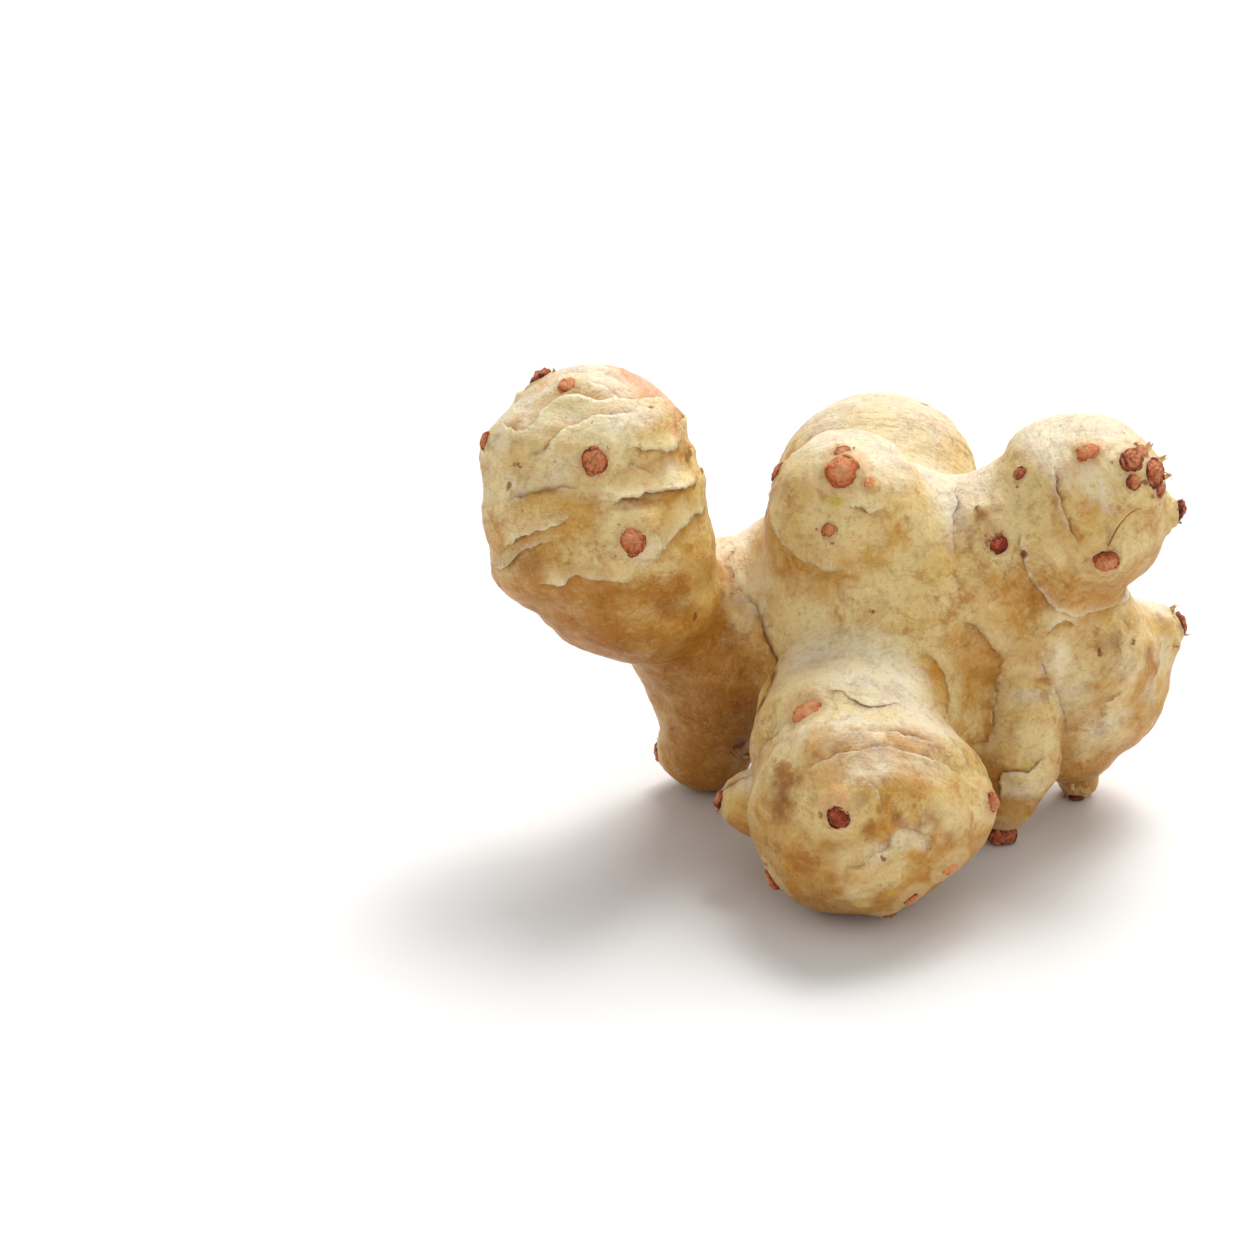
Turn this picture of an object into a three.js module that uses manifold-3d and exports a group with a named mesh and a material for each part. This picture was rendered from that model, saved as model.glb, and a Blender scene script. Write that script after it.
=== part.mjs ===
// A Jerusalem artichoke: one knobbly tuber, whole, lying on its front lobe and three low knobs.
// Millimetres, +Z up. The origin is on the floor under the middle of the tuber's box.
// +X runs along the tuber, and -Y is the side that the big blunt lobe points to.
import * as THREE from 'three';
import { mergeVertices } from 'three/addons/utils/BufferGeometryUtils.js';
import Module from 'manifold-3d';

// Driving dimensions.
const CELL = 2.7; // spacing of the net that the skin is drawn on
const BEAD_BLEND = 3; // how widely a lobe's own beads flow together
const LUMP_HEIGHT = 0.32; // each of the three crossing swells that keep the lobes from being round
const RING_PITCH = 9.5; // from one leaf scar's ridge to the next, along a lobe
const RING_HEIGHT = 0.28;
const RING_SWAY = 1.8; // how far a ridge wanders to either side of its plane
const BUD_ROOT = 2.6; // half the length of a bud's body, most of which is sunk in the skin
const BUD_STAND = 0.3; // how far a bud stands out of the skin, for its width
const BUD_SIDES = 7;
const BUD_ROWS = 4;
const EASING_ROUNDS = 3; // how often the net is eased before its points lie on the skin
const RAY_STEPS = 40; // of a walk from inside a lobe out to the skin
const RAY_SHARE = 0.9; // of the distance left that each step goes
const FLOOR_SIDE = 300; // of the block under z = 0 that presses the lowest knobs flat
const SKIN_COLOUR = 0xd6c08f;

// Each lobe is a chain of beads, from its root to its tip: x, y, z and radius. Its blend is the
// width over which it flows into the lobes named before it, and ring is where its first leaf
// scar's ridge runs, from the tip bead's middle along the lobe. The smallest lobes have none.
const LOBES = {
  trunk: {
    blend: 5,
    ring: 8,
    beads: [[-14.6, 7.2, 25, 13], [-2.6, 6.2, 30, 13.5], [8.4, 4.2, 32.5, 14.2], [22.4, 5.2, 32, 13.2]],
  },
  under: { blend: 6, beads: [[5.4, 0.2, 22, 12], [21.4, 2.2, 23, 9.5]] },
  bib: { blend: 7, beads: [[1.6, -0.1, 41, 9.5], [6.4, -0.8, 31, 11.5], [17.1, -1, 33, 9]] },
  thumb: {
    blend: 4,
    ring: 6,
    beads: [[-22.6, 4.2, 29, 9.5], [-29.2, -3.8, 37.5, 10.6], [-33.1, -2.8, 44.5, 14.8],
      [-34.7, -0.3, 52.7, 14.3]],
  },
  front: {
    blend: 5,
    ring: 8,
    beads: [[2.4, -6.8, 20, 12.5], [0.7, -15.8, 19, 12.5], [2.6, -25.5, 14.7, 15.2]],
  },
  cheek: { blend: 4, beads: [[5.4, -25.8, 14.2, 12], [13.9, -25.8, 14.2, 4.9]] },
  crown: { blend: 6, ring: 3, beads: [[12.4, 3.2, 39, 9.5], [2.4, 3.2, 41, 9.5], [-0.1, -0.8, 47, 10]] },
  shoulder: { blend: 5, ring: 3, beads: [[21.4, 4.2, 34, 11.5], [32.1, 1.2, 46.8, 12.5]] },
  nub: { blend: 2.5, beads: [[39.5, 0.8, 45.4, 4.6], [44.3, 0.9, 45.7, 2]] },
  fan: { blend: 4, beads: [[29.4, 7.2, 20, 9.5], [37, 8.2, 16, 8.2], [43.6, 8.2, 23.3, 5.3]] },
  web: { blend: 5, beads: [[27.1, 0, 28, 9], [34.6, 2.2, 24, 9], [38.6, 4.5, 17.5, 7.5]] },
  back: { blend: 5, beads: [[7.4, 12.2, 33, 12], [6.1, 25.7, 38.3, 14]] },
  keel: { blend: 6, ring: 4, beads: [[7.4, 10.2, 24, 11], [11.4, 20.2, 13.5, 10.6]] },
  heel: { blend: 5, beads: [[-16.6, 7.2, 16, 8], [-18, 8.8, 5.9, 6.4]] },
  gusset: { blend: 4, beads: [[13, -6, 17.5, 8], [20, -5.2, 15, 6.2]] },
  skirt: { blend: 4, beads: [[30.5, 2, 16, 7], [31.5, 3, 10, 5.2]] },
  finger: {
    blend: 1.6,
    beads: [[24.8, -6.6, 18.8, 6.4], [24.6, -7.8, 12.2, 5.7], [23.5, -7.8, 6.4, 3.9], [22.8, -7.4, 1.9, 2.6]],
  },
  spur: { blend: 3, beads: [[33.6, 5, 8, 4.6], [34.7, 6.2, 2.2, 2.4]] },
  wart: { blend: 1, beads: [[-8.8, -18.5, 11.3, 5.4], [-11, -19, 11.4, 4.7], [-13.3, -19.4, 11.7, 2.2]] },
};

// The buds of each lobe, seen from its tip bead's middle: the turn from +X, the rise above level,
// both in degrees, and the bud's width.
const BUDS = {
  thumb: [[142, 53, 3.6], [-139, 74, 3], [-86, 27, 4], [-70, -12, 4.2], [-171, 20, 2.4], [75, 40, 3.8],
    [30, 5, 3.2], [118, -12, 4], [150, -42, 3.2]],
  front: [[-107, 20, 3.4], [174, 59, 4.8], [-38, -20, 3.2], [-61, -37, 2.8], [-158, -34, 3.4],
    [-70, -53, 2.6]],
  cheek: [[-29, 20, 3.2]],
  crown: [[-92, 53, 4.8], [-94, 72, 2.4], [-102, 6, 2.2], [-64, 40, 2.2], [155, 22, 3.4]],
  shoulder: [[-85, 58, 3.2], [-146, 35, 2.2], [-46, 45, 3.8], [-31, 32, 4], [-52, 33, 2.4],
    [-30, 46, 2.6], [-29, 22, 2.6], [-76, -13, 3.8], [-140, -6, 3.2], [62, 34, 3.6], [105, 8, 3.4],
    [40, -22, 3]],
  nub: [[-5, 6, 3.2]],
  fan: [[6, 21, 3.4], [62, 4, 3.2], [120, -30, 2.8]],
  back: [[88, 14, 4.6], [38, 4, 3.4], [130, -10, 3.6], [84, 44, 3.2], [84, -38, 3.6], [158, -26, 3]],
  keel: [[95, -16, 4.2], [38, -6, 3.2], [150, 6, 3.4], [75, 40, 3]],
  heel: [[176, -8, 3.2], [88, -18, 3]],
  finger: [[-85, -12, 4.2]],
  spur: [[-95, -40, 2.2]],
  wart: [[-171, 8, 2.8]],
};

// A smooth minimum of two distances: they flow together over a width of blend.
function flow(a, b, blend) {
  const h = Math.max(blend - Math.abs(a - b), 0) / blend;
  return Math.min(a, b) - (h * h * blend) / 4;
}

// Distance from a point to the stretch between two beads, whose radius eases from one to the other.
function stretchDistance([x, y, z], [ax, ay, az, ar], [bx, by, bz, br]) {
  const [dx, dy, dz] = [bx - ax, by - ay, bz - az];
  const along = (x - ax) * dx + (y - ay) * dy + (z - az) * dz;
  const t = Math.min(Math.max(along / (dx * dx + dy * dy + dz * dz), 0), 1);
  const gap = Math.hypot(x - ax - t * dx, y - ay - t * dy, z - az - t * dz);
  return gap - (ar + (br - ar) * t * t * (3 - 2 * t));
}

function lobeDistance(point, beads) {
  let distance = Infinity;
  for (let i = 1; i < beads.length; i++) {
    const next = stretchDistance(point, beads[i - 1], beads[i]);
    distance = i === 1 ? next : flow(distance, next, BEAD_BLEND);
  }
  return distance;
}

// How far the ridges stand out at a point: wavy rings across the line of the lobe's last two beads.
function ringLift([x, y, z], { ring, beads }) {
  if (ring === undefined) return 0;
  const [[ax, ay, az], [bx, by, bz]] = beads.slice(-2);
  const length = Math.hypot(bx - ax, by - ay, bz - az);
  const along = ((x - bx) * (bx - ax) + (y - by) * (by - ay) + (z - bz) * (bz - az)) / length;
  const sway = RING_SWAY * Math.sin(x / 5.3 + z / 8.1) * Math.cos(y / 5.9 - z / 10.7 + 0.6);
  return RING_HEIGHT * Math.cos((2 * Math.PI * (along - ring + sway)) / RING_PITCH);
}

// Three crossing swells, each some 30 mm long.
function lumpLift([x, y, z]) {
  const across = Math.sin(x / 5.1 + y / 9.3 + 0.5);
  const along = Math.sin(y / 5.7 - z / 7.9 + 1.7);
  const up = Math.sin(z / 4.9 + x / 8.7 + 2.4);
  return LUMP_HEIGHT * (across + along + up);
}

function tuberDistance(point) {
  let distance = null;
  for (const lobe of Object.values(LOBES)) {
    const next = lobeDistance(point, lobe.beads) - ringLift(point, lobe);
    distance = distance === null ? next : flow(distance, next, lobe.blend);
  }
  return distance - lumpLift(point);
}

// The box that holds every bead, with room for the blends round it.
function fieldBox() {
  const box = new THREE.Box3();
  for (const { blend, beads } of Object.values(LOBES)) {
    for (const [x, y, z, radius] of beads) {
      const reach = radius + blend + 2 * CELL;
      box.expandByPoint(new THREE.Vector3(x - reach, y - reach, z - reach));
      box.expandByPoint(new THREE.Vector3(x + reach, y + reach, z + reach));
    }
  }
  return box;
}

const CORNERS = [0, 1, 2, 3, 4, 5, 6, 7].map((c) => [c & 1, (c >> 1) & 1, (c >> 2) & 1]);
const EDGES = CORNERS.flatMap((_, a) => [1, 2, 4].filter((bit) => !(a & bit)).map((bit) => [a, a | bit]));
const FACES = [1, 2, 4].flatMap((bit, axis) => {
  const [u, v] = [1 << ((axis + 1) % 3), 1 << ((axis + 2) % 3)];
  return [0, bit].map((side) => [side, side | u, side | u | v, side | v]);
});
const edgeKey = (a, b) => Math.min(a, b) * 8 + Math.max(a, b);

// Sorts a cell's crossed edges into sheets of skin: two of them are in one sheet where they bound
// the same corner of a face, so that a cell in a narrow crease can hold two sheets.
function cellSheets(values) {
  const inside = values.map((value) => value < 0);
  const crossed = EDGES.filter(([a, b]) => inside[a] !== inside[b]);
  const sheetOf = new Map(crossed.map(([a, b]) => [edgeKey(a, b), edgeKey(a, b)]));
  const join = (one, other) => {
    const [from, to] = [sheetOf.get(one), sheetOf.get(other)];
    for (const [key, sheet] of sheetOf) if (sheet === from) sheetOf.set(key, to);
  };
  for (const face of FACES) {
    const keys = face.map((corner, i) => edgeKey(corner, face[(i + 1) % 4]));
    const cut = keys.filter((key) => sheetOf.has(key));
    if (cut.length === 2) join(cut[0], cut[1]);
    if (cut.length === 4) face.forEach((corner, i) => inside[corner] && join(keys[(i + 3) % 4], keys[i]));
  }
  return sheetOf;
}

// The mean of the places where a sheet's edges are crossed, in parts of the cell.
function sheetMiddle(keys, values) {
  const places = keys.map((key) => {
    const [a, b] = [key >> 3, key & 7];
    const t = values[a] / (values[a] - values[b]);
    return CORNERS[a].map((start, d) => start + (CORNERS[b][d] - start) * t);
  });
  return [0, 1, 2].map((d) => places.reduce((sum, at) => sum + at[d], 0) / places.length);
}

// The skin as a net: one point for each sheet in a cell, and one quad round every grid edge that
// the skin crosses.
function surfaceNet(field, box, cell) {
  const size = box.getSize(new THREE.Vector3());
  const counts = [size.x, size.y, size.z].map((length) => Math.ceil(length / cell) + 1);
  const index = (i, j, k) => i + counts[0] * (j + counts[1] * k);
  const place = (i, j, k) => [box.min.x + i * cell, box.min.y + j * cell, box.min.z + k * cell];
  const each = (from, to, visit) => {
    for (let k = from; k < counts[2] - to; k++) {
      for (let j = from; j < counts[1] - to; j++) {
        for (let i = from; i < counts[0] - to; i++) visit(i, j, k);
      }
    }
  };
  const values = new Float64Array(counts[0] * counts[1] * counts[2]);
  each(0, 0, (i, j, k) => {
    values[index(i, j, k)] = field(place(i, j, k));
  });
  const positions = [];
  const pointOf = new Map();
  each(0, 1, (i, j, k) => {
    const around = CORNERS.map(([a, b, c]) => values[index(i + a, j + b, k + c)]);
    const sheetOf = cellSheets(around);
    for (const sheet of new Set(sheetOf.values())) {
      const keys = [...sheetOf.keys()].filter((key) => sheetOf.get(key) === sheet);
      const [a, b, c] = sheetMiddle(keys, around);
      for (const key of keys) pointOf.set(index(i, j, k) * 64 + key, positions.length / 3);
      positions.push(...place(i + a, j + b, k + c));
    }
  });
  const quads = [];
  each(1, 1, (i, j, k) => {
    const inside = values[index(i, j, k)] < 0;
    [1, 2, 4].forEach((bit, axis) => {
      const [a, b, c] = CORNERS[bit];
      if (inside === values[index(i + a, j + b, k + c)] < 0) return;
      const [u, v] = [1 << ((axis + 1) % 3), 1 << ((axis + 2) % 3)];
      const round = [u | v, v, 0, u].map((corner) => {
        const [di, dj, dk] = CORNERS[corner];
        return pointOf.get(index(i - di, j - dj, k - dk) * 64 + edgeKey(corner, corner | bit));
      });
      quads.push(inside ? round : round.reverse());
    });
  });
  return { positions, quads };
}

// Slope of the field at a point, by central differences.
function slope(field, [x, y, z]) {
  const step = 0.05;
  return [
    field([x + step, y, z]) - field([x - step, y, z]),
    field([x, y + step, z]) - field([x, y - step, z]),
    field([x, y, z + step]) - field([x, y, z - step]),
  ].map((difference) => difference / (2 * step));
}

// Moves each point of the net onto the skin, after easing it towards its neighbours' mean.
function settle({ positions, quads }, field, rounds) {
  const count = positions.length / 3;
  for (let round = 0; round < rounds; round++) {
    const sums = new Float64Array(positions.length);
    const weights = new Float64Array(count);
    for (const quad of quads) {
      quad.forEach((point, corner) => {
        const next = quad[(corner + 1) % 4];
        for (let d = 0; d < 3; d++) {
          sums[point * 3 + d] += positions[next * 3 + d];
          sums[next * 3 + d] += positions[point * 3 + d];
        }
        weights[point]++;
        weights[next]++;
      });
    }
    for (let p = 0; p < count; p++) {
      let at = [0, 1, 2].map((d) => (positions[p * 3 + d] + sums[p * 3 + d] / weights[p]) / 2);
      for (let pull = 0; pull < 2; pull++) {
        const g = slope(field, at);
        const steep = g[0] * g[0] + g[1] * g[1] + g[2] * g[2];
        const move = field(at) / Math.max(steep, 0.1);
        at = at.map((value, d) => value - g[d] * move);
      }
      for (let d = 0; d < 3; d++) positions[p * 3 + d] = at[d];
    }
  }
}

function netGeometry({ positions, quads }) {
  const corner = (p) => new THREE.Vector3().fromArray(positions, p * 3);
  const indices = [];
  for (const [a, b, c, d] of quads) {
    const acrossAC = corner(a).distanceTo(corner(c)) < corner(b).distanceTo(corner(d));
    indices.push(...(acrossAC ? [a, b, c, a, c, d] : [b, c, d, b, d, a]));
  }
  const geometry = new THREE.BufferGeometry();
  geometry.setAttribute('position', new THREE.Float32BufferAttribute(positions, 3));
  geometry.setIndex(indices);
  return geometry;
}

const wasm = await Module();
wasm.setup();

function solidFrom(geometry) {
  const bare = new THREE.BufferGeometry();
  bare.setAttribute('position', geometry.getAttribute('position'));
  bare.setIndex(geometry.getIndex());
  const merged = mergeVertices(bare, 1e-4);
  const vertProperties = new Float32Array(merged.getAttribute('position').array);
  const triVerts = new Uint32Array(merged.getIndex().array);
  return new wasm.Manifold(new wasm.Mesh({ numProp: 3, vertProperties, triVerts }));
}

function geometryFrom(solid) {
  const mesh = solid.getMesh();
  const geometry = new THREE.BufferGeometry();
  geometry.setAttribute('position', new THREE.BufferAttribute(mesh.vertProperties, 3));
  geometry.setIndex(new THREE.BufferAttribute(mesh.triVerts, 1));
  geometry.computeVertexNormals();
  return geometry;
}

// The place on the skin that is seen from inside at a turn and a rise, with the slope there.
function skinPlace(beads, turn, rise) {
  const [a, e] = [turn, rise].map(THREE.MathUtils.degToRad);
  const ray = new THREE.Vector3(Math.cos(e) * Math.cos(a), Math.cos(e) * Math.sin(a), Math.sin(e));
  const at = new THREE.Vector3().fromArray(beads.at(-1));
  for (let step = 0; step < RAY_STEPS; step++) {
    at.addScaledVector(ray, -RAY_SHARE * tuberDistance(at.toArray()));
  }
  return { at, out: new THREE.Vector3().fromArray(slope(tuberDistance, at.toArray())).normalize() };
}

// A bud is the end of a long egg that is sunk in the skin and stands out of it a little.
function budSolid(beads, [turn, rise, width]) {
  const stand = BUD_STAND * width;
  const sunk = BUD_ROOT - stand;
  const girth = width / 2 / Math.sqrt(1 - (sunk / BUD_ROOT) ** 2);
  const { at, out } = skinPlace(beads, turn, rise);
  const egg = new THREE.SphereGeometry(1, BUD_SIDES, BUD_ROWS).scale(girth, BUD_ROOT, girth);
  egg.applyQuaternion(new THREE.Quaternion().setFromUnitVectors(new THREE.Vector3(0, 1, 0), out));
  egg.translate(...at.addScaledVector(out, -sunk).toArray());
  return solidFrom(egg);
}

function tuberGeometry() {
  const net = surfaceNet(tuberDistance, fieldBox(), CELL);
  settle(net, tuberDistance, EASING_ROUNDS);
  let solid = solidFrom(netGeometry(net));
  for (const [lobe, buds] of Object.entries(BUDS)) {
    for (const bud of buds) solid = solid.add(budSolid(LOBES[lobe].beads, bud));
  }
  const floor = new THREE.BoxGeometry(FLOOR_SIDE, FLOOR_SIDE, FLOOR_SIDE).translate(0, 0, -FLOOR_SIDE / 2);
  return geometryFrom(solid.subtract(solidFrom(floor)));
}

const skin = new THREE.MeshStandardMaterial({ color: SKIN_COLOUR, roughness: 0.55, metalness: 0 });
const tuber = new THREE.Mesh(tuberGeometry(), skin);
tuber.name = 'tuber';

const artichoke = new THREE.Group();
artichoke.add(tuber);

export default artichoke;
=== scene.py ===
"""A Jerusalem artichoke on a pale floor: one whole, knobbly tuber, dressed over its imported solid.

Lengths in this script are in millimetres until a mesh is made, and Blender's own are in metres.
"""
import math

import bpy
import numpy as np
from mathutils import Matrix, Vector, noise


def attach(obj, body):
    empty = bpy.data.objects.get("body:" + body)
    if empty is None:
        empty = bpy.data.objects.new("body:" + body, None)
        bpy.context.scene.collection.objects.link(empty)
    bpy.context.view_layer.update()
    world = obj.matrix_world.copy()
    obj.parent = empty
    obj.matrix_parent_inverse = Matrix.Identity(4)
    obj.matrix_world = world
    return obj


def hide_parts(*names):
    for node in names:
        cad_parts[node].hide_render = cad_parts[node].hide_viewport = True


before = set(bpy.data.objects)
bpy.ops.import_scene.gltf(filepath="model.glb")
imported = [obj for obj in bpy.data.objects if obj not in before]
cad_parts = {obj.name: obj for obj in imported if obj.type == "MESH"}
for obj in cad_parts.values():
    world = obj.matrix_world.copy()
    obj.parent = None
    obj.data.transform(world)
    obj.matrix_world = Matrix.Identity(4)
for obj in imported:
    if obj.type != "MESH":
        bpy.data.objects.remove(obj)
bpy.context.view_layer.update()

MM = 0.001

# The tuber's form, from the same driving values as its solid.
BEAD_BLEND = 3.0  # the width over which the stretches of one lobe flow together
LUMP_HEIGHT = 0.32
RING_PITCH = 9.5
RING_HEIGHT = 0.28
RING_SWAY = 1.8  # how far a ridge leaves its plane, to either side
BUD_STAND = 0.3  # how far a bud stands out of the skin, for its width

# The net that the skin is drawn on.
CELL = 0.56  # its spacing
NET_MARGIN = 8.0  # how far from a lobe its distance is still worked out
NET_ROOM = 4.0  # how far round the beads the net's grid goes
FAR_OFF = 50.0  # the distance that is taken where no lobe is near

# Each lobe is a chain of beads from its root to its tip: x, y, z and radius. Its blend is the width
# over which it flows into the lobes named before it, and ring is where its first ridge runs.
LOBES = {
    "trunk": dict(blend=5, ring=8, beads=[(-14.6, 7.2, 25, 13), (-2.6, 6.2, 30, 13.5),
        (8.4, 4.2, 32.5, 14.2), (22.4, 5.2, 32, 13.2)]),
    "under": dict(blend=6, beads=[(5.4, 0.2, 22, 12), (21.4, 2.2, 23, 9.5)]),
    "bib": dict(blend=7, beads=[(1.6, -0.1, 41, 9.5), (6.4, -0.8, 31, 11.5), (17.1, -1, 33, 9)]),
    "thumb": dict(blend=4, ring=6, beads=[(-22.6, 4.2, 29, 9.5), (-29.2, -3.8, 37.5, 10.6),
        (-33.1, -2.8, 44.5, 14.8), (-34.7, -0.3, 52.7, 14.3)]),
    "front": dict(blend=5, ring=8, beads=[(2.4, -6.8, 20, 12.5), (0.7, -15.8, 19, 12.5),
        (2.6, -25.5, 14.7, 15.2)]),
    "cheek": dict(blend=4, beads=[(5.4, -25.8, 14.2, 12), (13.9, -25.8, 14.2, 4.9)]),
    "crown": dict(blend=6, ring=3, beads=[(12.4, 3.2, 39, 9.5), (2.4, 3.2, 41, 9.5),
        (-0.1, -0.8, 47, 10)]),
    "shoulder": dict(blend=5, ring=3, beads=[(21.4, 4.2, 34, 11.5), (32.1, 1.2, 46.8, 12.5)]),
    "nub": dict(blend=2.5, beads=[(39.5, 0.8, 45.4, 4.6), (44.3, 0.9, 45.7, 2)]),
    "fan": dict(blend=4, beads=[(29.4, 7.2, 20, 9.5), (37, 8.2, 16, 8.2), (43.6, 8.2, 23.3, 5.3)]),
    "web": dict(blend=5, beads=[(27.1, 0, 28, 9), (34.6, 2.2, 24, 9), (38.6, 4.5, 17.5, 7.5)]),
    "back": dict(blend=5, beads=[(7.4, 12.2, 33, 12), (6.1, 25.7, 38.3, 14)]),
    "keel": dict(blend=6, ring=4, beads=[(7.4, 10.2, 24, 11), (11.4, 20.2, 13.5, 10.6)]),
    "heel": dict(blend=5, beads=[(-16.6, 7.2, 16, 8), (-18, 8.8, 5.9, 6.4)]),
    "gusset": dict(blend=4, beads=[(13, -6, 17.5, 8), (20, -5.2, 15, 6.2)]),
    "skirt": dict(blend=4, beads=[(30.5, 2, 16, 7), (31.5, 3, 10, 5.2)]),
    "finger": dict(blend=1.6, beads=[(24.8, -6.6, 18.8, 6.4), (24.6, -7.8, 12.2, 5.7),
        (23.5, -7.8, 6.4, 3.9), (22.8, -7.4, 1.9, 2.6)]),
    "spur": dict(blend=3, beads=[(33.6, 5, 8, 4.6), (34.7, 6.2, 2.2, 2.4)]),
    "wart": dict(blend=1, beads=[(-8.8, -18.5, 11.3, 5.4), (-11, -19, 11.4, 4.7),
        (-13.3, -19.4, 11.7, 2.2)]),
}

# The buds of each lobe, seen from its tip bead's middle: the turn from +X, the rise above level,
# both in degrees, the bud's width, and its age from 0, pale orange, to 1, dark and dry.
BUDS = {
    "thumb": [(142, 53, 3.6, 0.5), (-139, 74, 3, 0.25), (-86, 27, 4, 0.45), (-70, -12, 4.2, 0.4),
        (-171, 20, 2.4, 0.3), (75, 40, 3.8, 0.4), (30, 5, 3.2, 0.5), (118, -12, 4, 0.3),
        (150, -42, 3.2, 0.5)],
    "front": [(-107, 20, 3.4, 0.95), (174, 59, 4.8, 0.2), (-38, -20, 3.2, 0.2), (-61, -37, 2.8, 0.35),
        (-158, -34, 3.4, 0.4), (-70, -53, 2.6, 0.8)],
    "cheek": [(-29, 20, 3.2, 0.35)],
    "crown": [(-92, 53, 4.8, 0.22), (-94, 72, 2.4, 0.4), (-102, 6, 2.2, 0.5), (-64, 40, 2.2, 0.1),
        (155, 22, 3.4, 0.4)],
    "shoulder": [(-85, 58, 3.2, 0.22), (-146, 35, 2.2, 0.6), (-46, 45, 3.8, 0.5), (-31, 32, 4, 0.5),
        (-52, 33, 2.4, 0.5), (-30, 46, 2.6, 0.4), (-29, 22, 2.6, 0.6), (-76, -13, 3.8, 0.42),
        (-140, -6, 3.2, 1), (62, 34, 3.6, 0.4), (105, 8, 3.4, 0.3), (40, -22, 3, 0.5)],
    "nub": [(-5, 6, 3.2, 0.7)],
    "fan": [(6, 21, 3.4, 0.6), (62, 4, 3.2, 0.4), (120, -30, 2.8, 0.5)],
    "back": [(88, 14, 4.6, 0.4), (38, 4, 3.4, 0.5), (130, -10, 3.6, 0.3), (84, 44, 3.2, 0.4),
        (84, -38, 3.6, 0.6), (158, -26, 3, 0.3)],
    "keel": [(95, -16, 4.2, 0.4), (38, -6, 3.2, 0.5), (150, 6, 3.4, 0.3), (75, 40, 3, 0.6)],
    "heel": [(176, -8, 3.2, 0.4), (88, -18, 3, 0.5)],
    "finger": [(-85, -12, 4.2, 0.6)],
    "spur": [(-95, -40, 2.2, 0.85)],
    "wart": [(-171, 8, 2.8, 0.6)],
}

SUNKEN_AGE = 0.2  # a bud of this age or less, or of age 1, is sunken and has no scales
SUNKEN_STAND = 0.65  # how far it stands out, for another bud's stand
SHRED_AGE = 0.35  # an older bud than this has shreds of dry skin at its rim
OLD_AGE = 0.45  # and an older one than this has five scales, where a younger one has three

# The photograph's view: the camera looks along +Y and down, from this far.
ELEVATION = math.radians(25)
CAMERA_DISTANCE = 620.0
FRAME_PIXELS = 1250
MM_PER_PIXEL = 0.141
GROUND_POINT = (-29.8, -3.8, 0.0)  # a point on the floor, which the picture shows in its mid column
GROUND_ROW = 824  # and at this row

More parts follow.
